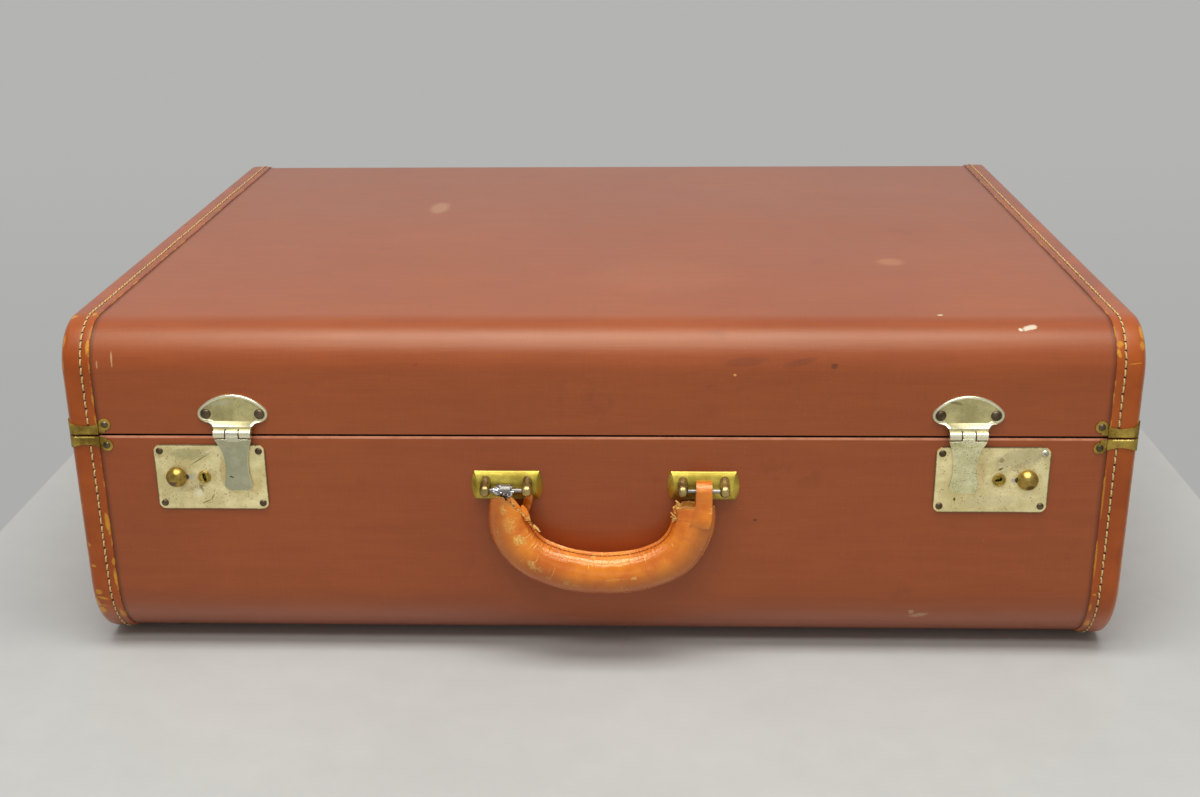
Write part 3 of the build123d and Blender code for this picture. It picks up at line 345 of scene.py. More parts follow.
# Painted light: the flat top is painted lighter and yellower than the walls, for the light and sheen it catches from
# above. The same share thins its glancing coat.
top_painted_lighter = stepped(up, TOP_Z - TOP_FADE, TOP_Z)
colour = mixed(times(top_painted_lighter, 0.8), colour, (1.24, 1.28, 0.62, 1.0), "MULTIPLY")
surfaced(
    cloth, colour, spread(noise_of(place, 12, 3, 0.6), 0.12, 0.34), linen["Height"], 0.34, 0.0001,
    Specular_IOR_Level=0.6, Specular_Tint=(1.0, 0.9, 0.7, 1.0),
    Coat_Weight=times(veil(place), spread(top_painted_lighter, -0.4, 1.0)), Coat_Roughness=0.3,
)
for half in HALVES:
    low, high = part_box(f"{half}_covering")
    rim = high.z if half == "base" else low.z

    def at_rim(*ends):
        level = all(abs(end.z - rim) < 1e-5 for end in ends)
        return level and all(abs(end.y) > high.y - 1e-5 or abs(end.x) > high.x - 1e-5 for end in ends)

    skin = eased(f"{half}_covering", COVER_RIM_EASE, at_rim, 4)
    finished(f"{half}_cloth_skin", skin, cloth, half, [f"{half}_covering"])


# Leather bindings: one strip of harness leather round each end of the case, cut at the seam. It is
# sewn near its inner edge, drawn over the end edge and turned onto the end wall. Its golden
# flesh side shows wherever the dyed surface has worn off.
LEATHER_EDGE_X, LEATHER_END_X = (corner.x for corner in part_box("lid_binding_right"))
LEATHER_TURN, LEATHER_ON_END, LEATHER_SHEET = 0.005, 0.020, 0.00135
LEATHER_CORNER, LEATHER_GROOVE = 0.0190, 0.0065
STITCH_LINE_X = 0.3170
CASE_TURNS = {"lid": 0.030, "base": 0.050}
HIDE_COLOUR, HIDE_DEEP, FLESH_DEEP, FLESH = (174, 82, 25), (150, 64, 17), (180, 112, 30), (226, 160, 50)
LEATHER_WEAR = (
    # place and half-sizes in mm, turn, strength
    (-314.4, -226.6, 223.2, 1.6, 3, 0, 1), (-312.8, -249.3, 210.1, 1.4, 6.2, 0, 1),
    (-326.4, -229.7, 223, 3, 2.8, 30, 0.9), (-328.2, -246.9, 213.4, 1.8, 5, 0, 0.8),
    (-328.4, -253.5, 199.5, 1.2, 5.5, 0, 0.6), (-312, -254, 177.1, 0.9, 5, 0, 0.9),
    (-311.9, -254, 164, 0.9, 4, 0, 0.7), (-313, -254, 93.3, 1.9, 9, 4, 1),
    (-312.4, -254, 66.2, 1.4, 3, 0, 0.8), (-312.4, -254, 54.5, 1.4, 8, 3, 1),
    (-328.4, -254, 105.3, 1.4, 1.8, 0, 1), (-327.2, -254, 77.9, 2.2, 1.3, -30, 0.9),
    (-326, -254, 62.9, 2.2, 1.1, -10, 0.9), (-325, -253.6, 44, 3, 2.2, -25, 0.9),
    (-323.2, -252.8, 39.2, 4.4, 1.3, -15, 0.95), (-326.2, -249, 28.5, 3.6, 4.4, 0, 1),
    (-313.6, -247.5, 25.3, 1.6, 6, 0, 0.8), (-328, -251.5, 35.2, 2.4, 5, 12, 1),
    (-324, -249, 33, 4, 1, -12, 0.9), (-328.5, -247, 29, 3, 4, 0, 1),
    (313.8, -247.8, 211.8, 2.2, 2.6, -30, 1), (313, -251, 207, 1.6, 3.2, 20, 1),
    (328.3, -242.1, 218, 2.8, 7, 0, 1), (327.5, -248.2, 211.2, 2.6, 3.5, 0, 0.8),
    (322.9, -253, 201.2, 5, 0.5, 6, 0.7), (313.8, -253.9, 46.7, 1.6, 0.9, -10, 1),
    (314.2, -244.5, 21.5, 2.2, 5, 0, 0.9), (312.2, -254, 69.7, 0.7, 12, 0, 0.7),
    (312.8, -252, 36.5, 1, 4, 0, 0.8), (312.2, -254, 115, 0.7, 20, 0, 0.6),
)
hide_group, given, out = new_group(
    "Shader", "hide_grain", {"Place": NOWHERE, "Pores per metre": ("Float", 900)},
    {"Height": ("Float",), "Tone": ("Float",)},
)
spaced = scaled(given["Place"], given["Pores per metre"])
cells = wire(hide_group, "ShaderNodeTexVoronoi", {"feature": "SMOOTH_F1"}, Vector=spaced, Scale=1.0)
join(spread(cells.outputs["Distance"], 0.5, noise_of(spaced, 0.22, 5, 0.65)), out["Height"])
join(noise_of(spaced, 0.03, 4, 0.6), out["Tone"])

binding_leather, place = new_material("binding_leather")
hide = placed(hide_group, place, Pores_per_metre=1100.0)
colour = mixed(stepped(hide["Tone"], 0.3, 0.7), HIDE_DEEP, HIDE_COLOUR)
colour = painted(colour, stepped(noise_of(place, 60, 3, 0.6), 0.35, 0.75), HIDE_DEEP, 0.25)
across_strip = axis_of(wire(place.id_data, "ShaderNodeUVMap", {"uv_map": "strip"}).outputs[0], "X")
patchy = noise_of(place, 95, 4, 0.7)
inner = times(stepped(across_strip, 0.0016, 0.0006), stepped(patchy, 0.50, 0.60))
corner_line = stepped(apart(across_strip, LEATHER_CORNER), 0.0018, 0.0004)
corner = times(corner_line, stepped(patchy, 0.44, 0.56, 0.35, 0.9))
bare = larger(worn_at(place, LEATHER_WEAR), larger(inner, corner))
# Painted shade: a dark band in the groove along the stitch line.
colour = painted(colour, stepped(apart(across_strip, LEATHER_GROOVE), 0.0009, 0.0002), (84, 36, 20), 0.35)
colour = mixed(bare, colour, mixed(noise_of(place, 700, 3, 0.6), FLESH_DEEP, FLESH))
surfaced(
    binding_leather, colour, spread(bare, 0.3, spread(hide["Tone"], 0.16, 0.34)), hide["Height"], 0.25, 0.00018,
    Specular_Tint=(1.0, 0.86, 0.6, 1.0), Coat_Weight=veil(place), Coat_Roughness=0.32,
)


def case_outline(half, step=0.004, arc_steps=14):
    """The case's outline from the front rim to the rear rim: (y, z), the way inwards, and the distance."""
    low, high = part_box(f"{half}_binding_right")
    rim, flat, up = (low.z, high.z, 1) if half == "lid" else (high.z, low.z, -1)
    turn = CASE_TURNS[half]
    wall, panel = abs(flat - rim) - turn, high.y - low.y - 2 * turn
    count = max(2, round(wall / step))
    points = [((low.y, rim + up * wall * i / count), (1, 0)) for i in range(count)]
    for i in range(arc_steps):
        a = pi / 2 * i / arc_steps
        points.append(((low.y + turn - turn * cos(a), flat - up * turn + up * turn * sin(a)), (cos(a), -up * sin(a))))
    count = round(panel / step)
    points += [((low.y + turn + panel * i / count, flat), (0, -up)) for i in range(count // 2 + 1)]
    back = [((-y, z), (-ny, nz)) for (y, z), (ny, nz) in reversed(points[:-1])]
    path, run = [], 0.0
    for spot, inward in points + back:
        if path:
            run += (Vector(spot) - path[-1][0]).length
        path.append((Vector(spot), Vector(inward), run))
    return path


def strip_section():
    """The leather's section, as places across in X and depths under its surface: its top and its back."""
    edge_x, end_x, turn = LEATHER_EDGE_X, LEATHER_END_X, LEATHER_TURN
    top = [(0.0, 1.00), (0.0, 0.55), (0.25, 0.22), (0.8, 0.06), (2.2, 0.0), (3.8, 0.02)]
    top = [(edge_x + x / 1000, depth / 1000) for x, depth in top]
    seam = [(-0.8, 0.12), (0.0, 0.36), (0.8, 0.12), (2.0, 0.0), (4.5, 0.0)]
    top += [(STITCH_LINE_X + x / 1000, depth / 1000) for x, depth in seam] + [(end_x - turn, 0.0)]
    top += [(end_x - turn + turn * sin(a), turn - turn * cos(a)) for a in [pi / 16 * i for i in range(1, 9)]]
    top += [(end_x, depth) for depth in (0.0080, 0.0120, 0.0160, LEATHER_ON_END - 0.0012)]
    top += [(end_x - 0.00025, LEATHER_ON_END - 0.0004), (end_x - 0.0008, LEATHER_ON_END)]
    under = turn - LEATHER_SHEET
    low = [(end_x - LEATHER_SHEET, LEATHER_ON_END), (end_x - LEATHER_SHEET, turn)]
    low += [(end_x - turn + under * cos(a), turn - under * sin(a)) for a in [pi / 10 * i for i in range(1, 6)]]
    return top, low + [(edge_x, LEATHER_SHEET)]


def lofted(rings, seam=None, values=None, capped=False):
    """A closed mesh through rings of points, its two ends filled. A seam is the name of a UV map, with
    the distances round and along; capped lays it over the ends too. Values are the name of a point
    attribute, with a list for each ring."""
    work = bmesh.new()
    layer = work.loops.layers.uv.new(seam[0]) if seam else None
    numbers = work.verts.layers.float.new(values[0]) if values else None
    loops = [[work.verts.new(p) for p in ring] for ring in rings]
    if values:
        for ring, row in zip(loops, values[1]):
            for vert, number in zip(ring, row):
                vert[numbers] = number
    count = len(loops[0])
    for j, (a, b) in enumerate(zip(loops, loops[1:])):
        for i in range(count):
            k = (i + 1) % count
            face = work.faces.new((a[i], a[k], b[k], b[i]))
            if seam:
                for corner, (i_, j_) in zip(face.loops, ((i, j), (i + 1, j), (i + 1, j + 1), (i, j + 1))):
                    corner[layer].uv = (seam[1][i_], seam[2][j_])
    for ring in (loops[0], loops[-1]):
        cap = work.faces.new(ring)
        if capped:
            for corner, distance in zip(cap.loops, seam[1]):
                corner[layer].uv = (distance, 0.0)
    return as_mesh(work, True)


for half in HALVES:
    path = case_outline(half)
    for side, sign in SIDES.items():
        top, low = strip_section()
        across, rings = [0.0], []
        for a, b in zip(top + low, top[1:] + low):
            across.append(across[-1] + sqrt((a[0] - b[0]) ** 2 + (a[1] - b[1]) ** 2))
        for (y, z), inward, run in path:
            waver = noise.noise((run * 38, sign * 7.0, 3.0)) * 0.00030
            waver += noise.noise((run * 9, sign * 5.0, 1.0)) * 0.00035
            ring = []
            for i, (x, depth) in enumerate(top + low):
                swell = noise.noise((run * 55, x * 260, sign * 3.0 + z)) * 0.00007 if 2 < i < len(top) else 0.0
                spot = Vector((y, z)) + inward * (depth + swell + 0.00004)
                x += waver * max(0.0, 1 - (x - LEATHER_EDGE_X) / 0.004)
                ring.append((sign * x, spot.x, spot.y))
            rings.append(ring)
        name, covered = f"{half}_leather_strip_{side}", [f"{half}_binding_{side}"]
        seam = ("strip", across + [across[-1] + LEATHER_SHEET], [run for _, _, run in path])
        finished(name, lofted(rings, seam, capped=True), binding_leather, half, covered)


# Saddle stitches along the bindings: pale waxed thread, 5.45 mm a stitch, going down through an awl
# hole at each end, each hole a near-black dot of painted shade. Each stitch lies a little askew.
STITCH_PITCH, STITCH_ENDS = 0.00545, 0.008
THREAD_COLOUR, THREAD_DEEP = (242, 206, 136), (174, 148, 98)
THREAD_PLY, THREAD_FINISH = (1500, 2, 0.6), ((0.25, 0.5), (0.5, 0.0002), (90, 2, 0.5))


def grained(name, grain, deep, light, rough, relief, sheen=None, blurred=False):
    """A plain material. Its colour and relief follow one noise, and its roughness that or another."""
    made, place = new_material(name)
    tone = noise_of(place, *grain)
    colour = mixed(tone if blurred else stepped(tone, 0.3, 0.7), deep, light)
    return surfaced(made, colour, spread(noise_of(place, *sheen) if sheen else tone, *rough), tone, *relief)


def named(tree, key, kind="FLOAT_VECTOR"):
    return wire(tree, "GeometryNodeInputNamedAttribute", {"data_type": kind}, Name=key).outputs[0]


def facing(tree):
    """A turn that lays a shape's X along the point's run and its Z out of the surface."""
    first = wire(tree, "FunctionNodeAlignRotationToVector", {"axis": "X"}, Vector=named(tree, "along")).outputs[0]
    settings = {"axis": "Z", "pivot_axis": "X"}
    made = wire(tree, "FunctionNodeAlignRotationToVector", settings, Rotation=first, Vector=named(tree, "out"))
    return made.outputs[0]


def planted(tree, points, shape, turn, material, **more):
    """A shape on each point, made real, with its material."""
    made = wire(tree, "GeometryNodeInstanceOnPoints", Points=points, Instance=shape, Rotation=turn, **more)
    made = wire(tree, "GeometryNodeRealizeInstances", Geometry=made.outputs[0])
    return wire(tree, "GeometryNodeSetMaterial", Geometry=made.outputs[0], Material=material).outputs[0]


def stitch_tree(thread, hole, pitch):
    tree, given, out = new_group(
        "Geometry", "saddle_stitches",
        {"Points": ("Geometry",), "Stitch length": ("Float", 0.0043), "Thread radius": ("Float", 0.00055),
         "Rise": ("Float", 0.0011), "Hole radius": ("Float", 0.0007), "Slant": ("Float", 0.05),
         "Scatter": ("Float", 0.10), "Seed": ("Int", 3)},
        {"Mesh": ("Geometry",)},
    )
    half = times(given["Stitch length"], 0.5)
    ends = [wire(tree, "ShaderNodeCombineXYZ", X=x, Z=-0.0003).outputs[0] for x in (times(half, -1.0), half)]
    crown = wire(tree, "ShaderNodeCombineXYZ", Z=given["Rise"]).outputs[0]
    line = wire(tree, "GeometryNodeCurveQuadraticBezier", Resolution=5, Start=ends[0], Middle=crown, End=ends[1])
    settings = {"mode": "RADIUS"}
    ring = wire(tree, "GeometryNodeCurvePrimitiveCircle", settings, Resolution=6, Radius=given["Thread radius"])
    shape = wire(
        tree, "GeometryNodeCurveToMesh", Curve=line.outputs[0], Profile_Curve=ring.outputs[0], Fill_Caps=True
    )
    settings, scatter = {"data_type": "FLOAT"}, given["Scatter"]
    askew = wire(tree, "FunctionNodeRandomValue", settings, _2=times(scatter, -1.0), _3=scatter, Seed=given["Seed"])
    slant = wire(tree, "ShaderNodeCombineXYZ", Z=plus(askew.outputs[1], given["Slant"])).outputs[0]
    swing = wire(tree, "FunctionNodeEulerToRotation", Euler=slant).outputs[0]
    settings = {"rotation_space": "LOCAL"}
    turn = wire(tree, "FunctionNodeRotateRotation", settings, Rotation=facing(tree), Rotate_By=swing).outputs[0]
    threads = planted(tree, given["Points"], shape.outputs[0], turn, thread)
    # Each hole is a flat near-black dot of painted shade, half a pitch back from its stitch's middle.
    dot = wire(tree, "GeometryNodeMeshUVSphere", Segments=8, Rings=5, Radius=given["Hole radius"])
    flat = wire(tree, "GeometryNodeTransform", Geometry=dot.outputs[0], Scale=(1.0, 1.0, 0.35)).outputs[0]
    before = scaled(named(tree, "along"), -pitch / 2)
    shifted = wire(tree, "GeometryNodeSetPosition", Geometry=given["Points"], Offset=before).outputs[0]
    both = tree.nodes.new("GeometryNodeJoinGeometry")
    for part in (threads, planted(tree, shifted, flat, facing(tree), hole)):
        join(part, both.inputs[0])
    join(both.outputs[0], out["Mesh"])
    return tree


def grown(tree, points, values=(), extra=()):
    """The mesh that a geometry tree makes on points, each given as its place, its run and its way out."""
    seeds = bpy.data.meshes.new("points")
    seeds.from_pydata([p[0] for p in points], [], [])
    for index, key in ((1, "along"), (2, "out")):
        attribute = seeds.attributes.new(key, "FLOAT_VECTOR", "POINT")
        for value, point in zip(attribute.data, points):
            value.vector = point[index]
    for key, numbers in dict(extra).items():
        seeds.attributes.new(key, "FLOAT", "POINT").data.foreach_set("value", numbers)
    holder = set_down("points", seeds)
    grower = holder.modifiers.new("grow", "NODES")
    grower.node_group = tree
    for item in tree.interface.items_tree:
        if item.in_out == "INPUT" and item.name in dict(values):
            grower[item.identifier] = dict(values)[item.name]
    result = bpy.data.meshes.new_from_object(holder.evaluated_get(bpy.context.evaluated_depsgraph_get()))
    holder.modifiers.clear()
    bpy.data.objects.remove(holder)
    return result


pale_thread = grained("pale_waxed_thread", THREAD_PLY, THREAD_DEEP, THREAD_COLOUR, *THREAD_FINISH)
# Awl holes: near-black dots of painted shade.
awl_hole_painted_shade = grained(
    "awl_hole_painted_shade", (1200, 2, 0.5), (38, 16, 10), (12, 5, 3), (0.2, 0.65), (0.3, 0.0001), blurred=True
)
saddle_stitches = stitch_tree(pale_thread, awl_hole_painted_shade, STITCH_PITCH)
for half in HALVES:
    path = case_outline(half, 0.001, 60)
    for side, sign in SIDES.items():
        points, wanted = [], STITCH_ENDS + 0.0005
        for (p, inward, run), (q, _, _) in zip(path, path[1:]):
            if wanted <= run < path[-1][2] - STITCH_ENDS:
                along, spot = (q - p).normalized(), p + inward * 0.00016
                x = STITCH_LINE_X + noise.noise((run * 20, sign * 9.0, 4.0)) * 0.0003
                points.append(((sign * x, *spot), (0, *along), (0, *-inward)))
                wanted += STITCH_PITCH
        name = f"{half}_stitches_{side}"
        mesh = grown(saddle_stitches, points, {"Slant": 0.07 * sign, "Seed": 5 + sign})
        finished(name, mesh, None, half)


# Metal of the fittings. Clamps, knobs and handle plates are aged brass; lock plates, hasps and flaps
# are nickel-plated brass, yellowed where the plate is thin; rivets and pins are darkened steel.
PIT_COLOUR, PAINTED_HIGHLIGHT_COLOUR = (58, 46, 26), (252, 248, 222)
metal_group, given, out = new_group(
    "Shader", "aged_metal",
    {"Place": NOWHERE, "Bright": ("Color", tint(170, 158, 110)), "Dull": ("Color", tint(120, 110, 72)),
     "Stain": ("Color", tint(120, 84, 40)), "Staining": ("Float", 0.5), "Pitting": ("Float", 0.5),
     "Base roughness": ("Float", 0.35), "Pits per metre": ("Float", 620), "Shine": ("Float", 0)},
    {"Colour": ("Color",), "Roughness": ("Float",), "Height": ("Float",)},
)
place = given["Place"]
colour = mixed(stepped(noise_of(place, 70, 5, 0.65), 0.35, 0.68), given["Dull"], given["Bright"])
blot = stepped(noise_of(place, 130, 4, 0.7), 0.54, 0.74)
colour = mixed(times(blot, given["Staining"]), colour, given["Stain"])
speck = wire(metal_group, "ShaderNodeTexVoronoi", {"feature": "F1"}, Vector=place, Scale=given["Pits per metre"])
here = stepped(noise_of(place, 160, 2, 0.6), 0.42, 0.60)
pit = times(times(stepped(speck.outputs["Distance"], 0.26, 0.12), here), given["Pitting"])
# Painted highlight: where a piece gives a highlight share, the colour is lightened towards near-white; the roughness is
# lowered there too.
colour = painted(colour, given["Shine"], PAINTED_HIGHLIGHT_COLOUR, 0.8)
join(painted(colour, pit, PIT_COLOUR), out["Colour"])
scuff = noise_of(place, 420, 4, 0.7)
rough = plus(spread(scuff, 0.18, given["Base roughness"]), times(pit, 0.3))
join(spread(given["Shine"], -0.26, rough), out["Roughness"])
join(math_of("SUBTRACT", times(scuff, 0.5), pit), out["Height"])


def metal_material(
    name, bright, dull, stain, staining, pitting, roughness, bump=0.25, marks=(), metallic=1.0, pits=620.0
):
    """An old metal. Its marks are painted where they are seen on the front, and a highlight where the
    piece's mesh gives a share for it.
    """
    made, place = new_material(name)
    shine = wire(made.node_tree, "ShaderNodeAttribute", {"attribute_name": "shine"}).outputs["Fac"]
    aged = placed(
        metal_group, place, Bright=bright, Dull=dull, Stain=stain, Staining=staining,
        Pitting=pitting, Base_roughness=roughness, Pits_per_metre=pits, Shine=shine,
    )
    colour = marked(aged["Colour"], place, marks, 20.0)
    return surfaced(made, colour, aged["Roughness"], aged["Height"], bump, 0.00012, Metallic=metallic)


# Rivets: domed steel heads, darkened. Two sizes on the locks and clamps, larger ones on the hasps and
# the rear hinges, each set where its CAD solid is.
RIVET_SETS = {
    "base_clamp_rivets": "base", "lid_clamp_rivets": "lid", "lock_plate_rivets": "base", "hasp_rivets": "lid",
    "hinge_base_rivets": "base", "hinge_lid_rivets": "lid",
}
rivet_steel = metal_material("dark_rivet_steel", (120, 104, 84), (78, 66, 50), (58, 44, 30), 0.7, 0.4, 0.30)
domed_rivets, given, out = new_group(
    "Geometry", "domed_rivets",
    {"Points": ("Geometry",), "Dome": ("Float", 0.55), "Segments": ("Int", 24), "Rings": ("Int", 12),
     "Seed": ("Int", 1)},
    {"Mesh": ("Geometry",)},
)
ball = wire(domed_rivets, "GeometryNodeMeshUVSphere", Segments=given["Segments"], Rings=given["Rings"], Radius=1.0)
flat = wire(domed_rivets, "ShaderNodeCombineXYZ", X=1.0, Y=1.0, Z=given["Dome"]).outputs[0]
head = wire(domed_rivets, "GeometryNodeTransform", Geometry=ball.outputs[0], Scale=flat).outputs[0]
size = named(domed_rivets, "radius", "FLOAT")
join(planted(domed_rivets, given["Points"], head, facing(domed_rivets), rivet_steel, Scale=size), out["Mesh"])


def loose_boxes(node):
    """The lowest and highest corners of each solid in a CAD node that is a group."""
    work = bmesh.new()
    work.from_mesh(nodes[node].data)
    bmesh.ops.remove_doubles(work, verts=work.verts, dist=2e-6)
    left, boxes = set(work.verts), []
    while left:
        island, queue = set(), [left.pop()]
        while queue:
            vert = queue.pop()
            island.add(vert)
            left.discard(vert)
            queue += {e.other_vert(vert) for e in vert.link_edges} - island
        boxes.append([Vector([f(v.co[i] for v in island) for i in range(3)]) for f in (min, max)])
    work.free()
    return sorted(boxes, key=lambda box: tuple(box[0]))


for node, body in RIVET_SETS.items():
    points, sizes = [], []
    for low, high in loose_boxes(node):
        radius, middle = (high.x - low.x) / 2, (low + high) / 2
        way = -1 if low.y < 0 else 1
        seat = (low.y if way < 0 else high.y) - way * radius * 0.5
        if node == "lock_plate_rivets" and middle.x > 0.26 and middle.z > 0.13:
            screw_seat, screw_radius = Vector((middle.x, seat, middle.z)), radius
            continue
        points.append(((middle.x, seat - way * 0.0001, middle.z), (1, 0, 0), (0, way, 0)))
        sizes.append(radius)
    name = node.replace("rivets", "rivet_heads")
    finished(name, grown(domed_rivets, points, extra={"radius": sizes}), None, body, [node])


# One rivet of the right lock, left out above, has been replaced by a bright slotted screw. Its slot
# stands askew, and its head is rounded.
SCREW_SLOT, SCREW_SUNK, SCREW_TURN = 0.16, 0.3, radians(52)
SCREW_PROFILE = (  # share of the radius, and height
    (0.01, 0.55), (0.14, 0.55), (0.30, 0.53), (0.55, 0.45), (0.78, 0.30), (0.93, 0.12), (1.0, 0.0), (0.9, -0.2)
)


def turns(count):
    return [2 * pi * k / count for k in range(count)]


rings = []
for share, height in SCREW_PROFILE:
    ring = []
    for a in turns(40):
        beside = abs(share * cos(a - SCREW_TURN)) / SCREW_SLOT
        sunk = SCREW_SUNK * max(0.0, 1 - beside) ** 0.5 if height > 0 else 0.0
        ring.append(screw_seat + screw_radius * Vector((share * cos(a), sunk - height, share * sin(a))))
    rings.append(ring)
screw_steel = metal_material("bright_screw", (232, 230, 214), (196, 192, 172), (96, 86, 64), 0.3, 0.3, 0.22)
finished("replaced_screw", lofted(rings), screw_steel, "base")


# Lock plates: nickel-plated brass, riveted over the lock cases. Yellowed and stained beside the flap,
# with dark pits, a dark band round the edge, and a long diagonal scratch on the left one.
PLATE_EDGE_DARK = ((84, 68, 42), 0.8)
plate_marks = [
    (-249.2, -254, 137.5, 9, 0.4, 32, (110, 92, 54), 0.8),
    (-245, -254, 142.2, 7.5, 0.5, 26, (255, 252, 228), 0.6),
    (-247, -254, 109, 4.2, 0.4, 24, (110, 88, 48), 0.85),
    (-243.2, -254, 112.2, 3, 0.4, 58, (110, 88, 48), 0.8),
    (-252, -254, 115, 4.6, 4, 0, (250, 244, 220), 0.45),
    (-250, -254, 118, 1.2, 3.5, 20, (116, 96, 52), 0.6),
    (-256, -254, 121.5, 11, 7.5, 0, (132, 92, 40), 0.35),
    (-235, -254, 129, 3, 12, 0, (186, 140, 80), 0.35),
    (-215, -254, 119, 5, 8, 0, (206, 170, 100), 0.35),
    (-256, -254, 141, 14, 5, 0, (160, 158, 112), 0.5),
    (236, -254, 129, 3.6, 12, 0, (196, 150, 92), 0.3),
    (248, -254, 132.8, 1.6, 0.8, 30, (44, 32, 18), 0.9),
    (221, -254, 112.5, 0.8, 1.6, 0, (60, 42, 24), 0.9),
    (248, -254, 138.5, 2, 2, 0, (150, 104, 62), 0.6),
    (260, -254, 140, 20, 9, 18, (160, 148, 116), 0.4),
    (243, -254, 111, 24, 5, 4, (224, 212, 168), 0.45),
    (258, -254, 125, 4, 2.2, 0, (186, 182, 168), 0.7),
    (-256, -254, 125.4, 4, 2.2, 0, (206, 202, 190), 0.7),
]
# A dark band painted round each plate's edge.
for side in SIDES:
    low, high = (1000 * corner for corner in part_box(f"lock_plate_{side}"))
    plate_marks += [((low.x + high.x) / 2, low.y, z, 60.0, 0.7, 0, *PLATE_EDGE_DARK) for z in (low.z, high.z)]
    plate_marks += [(x, low.y, (low.z + high.z) / 2, 0.7, 35.0, 0, *PLATE_EDGE_DARK) for x in (low.x, high.x)]
lock_nickel = metal_material(
    "lock_plate_nickel", (255, 242, 186), (230, 214, 154), (176, 128, 62), 0.4, 0.8, 0.40, 0.3, plate_marks, 0.72
)
for side in SIDES:
    dressed(f"lock_plate_{side}", f"lock_face_{side}", 0.00035, lock_nickel, "base")


# Corner clamps: thin sheet brass over the ends of the leather, with an ear riveted to the covering.
# The base's clamps have a rolled bead along the seam.
BEAD_RADIUS = 0.00055
BEAD_STATIONS = ((0.3138, -0.6, 0.45), (0.3138, 0, 1), (0.3262, 0, 1), (0.3262, 0.6, 0.45))  # X, overhang, size
aged_brass = metal_material("clamp_brass", (204, 174, 84), (126, 100, 42), (84, 60, 26), 0.65, 0.35, 0.30)
# The bead's brass is lighter and smoother than the clamps': polish on the rolled edge, and partly a painted highlight.
bead_brass_polish_and_highlight = metal_material("bead_brass_polish_and_highlight", (250, 228, 132), (214, 186, 92), (150, 112, 48), 0.3, 0.2, 0.16)
for half in HALVES:
    for end in ("front", "rear"):
        for side, sign in SIDES.items():
            node = f"{half}_clamp_{end}_{side}"
            dressed(node, f"{node}_brass", 0.00035, aged_brass, half)
            if half == "lid":
                continue
            low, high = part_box(node)
            y = low.y + 0.0002 if end == "front" else high.y - 0.0002
            z, rings = high.z - BEAD_RADIUS, []
            for x, ahead, share in BEAD_STATIONS:
                x, size = sign * (x + ahead * BEAD_RADIUS), BEAD_RADIUS * share
                rings.append([(x, y + size * cos(a), z + size * sin(a)) for a in turns(12)])
            finished(f"{node}_bead", lofted(rings), bead_brass_polish_and_highlight, half)


# Knobs, key barrels and their plugs, turned from brass. A key turns the plug, and the knob slides
# towards the middle of the case. Their marks are the dark stains, and keyholes of painted shade.
KNOB_ROUND, KNOB_DEEP, SKIRT_DEEP, SHANK_ROUND = 6.5, 4.8, 5.8, 1.5
KNOB_BALL = (KNOB_ROUND**2 + KNOB_DEEP**2) / (2 * KNOB_DEEP)
# Keyholes: near-black marks on the plugs, painted shade standing in for the holes.
KEYHOLE_PAINTED_SHADE = ((8, 6, 4), 1)
knob_brass = metal_material(
    "knob_brass", (212, 182, 100), (158, 130, 62), (84, 60, 36), 0.7, 0.6, 0.22, 0.25,
    ((-266.8, -260, 122.6, 4, 2.4, 20, (96, 78, 74), 0.85),
     (266, -260, 122.2, 3.4, 2.6, 0, (70, 50, 26), 0.75)),
)
plug_brass = metal_material(
    "plug_brass", (206, 178, 84), (150, 124, 50), (84, 60, 36), 0.6, 0.5, 0.22, 0.25,
    ((-247.7, -260, 126.8, 1.6, 2, 0, *KEYHOLE_PAINTED_SHADE), (-247, -260, 124.6, 1.2, 2.8, 8, *KEYHOLE_PAINTED_SHADE),
     (247, -260, 125.6, 3, 1.2, 14, *KEYHOLE_PAINTED_SHADE), (248.5, -260, 126.2, 1.2, 1.8, 0, *KEYHOLE_PAINTED_SHADE)),
)
inner_steel = metal_material("lock_steel", (168, 164, 156), (120, 116, 110), (92, 66, 42), 0.5, 0.3, 0.35)
for side in SIDES:
    node = f"latch_knob_{side}"
    low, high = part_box(node)
    profile = []
    for step in range(17):
        a = max(0.01, step / 16 * asin(KNOB_ROUND / KNOB_BALL))
        profile.append((KNOB_BALL * sin(a), KNOB_BALL - KNOB_BALL * cos(a)))
    profile += [(KNOB_ROUND, KNOB_DEEP + 0.15), (KNOB_ROUND, SKIRT_DEEP - 0.15), (KNOB_ROUND - 0.15, SKIRT_DEEP)]
    profile += [(SHANK_ROUND, SKIRT_DEEP), (SHANK_ROUND, (high.y - low.y) * 1000)]
    middle = Vector(((low.x + high.x) / 2, low.y, (low.z + high.z) / 2))
    rings = [[middle + Vector((r * cos(a), deep, r * sin(a))) / 1000 for a in turns(64)] for r, deep in profile]
    finished(node + "_turned", lofted(rings), knob_brass, f"slide_{side}", [node])
    dressed(f"key_barrel_{side}", f"key_barrel_{side}_turned", 0.0002, knob_brass, "base")
    dressed(f"key_plug_{side}", f"key_plug_{side}_turned", 0.00012, plug_brass, f"key_{side}")


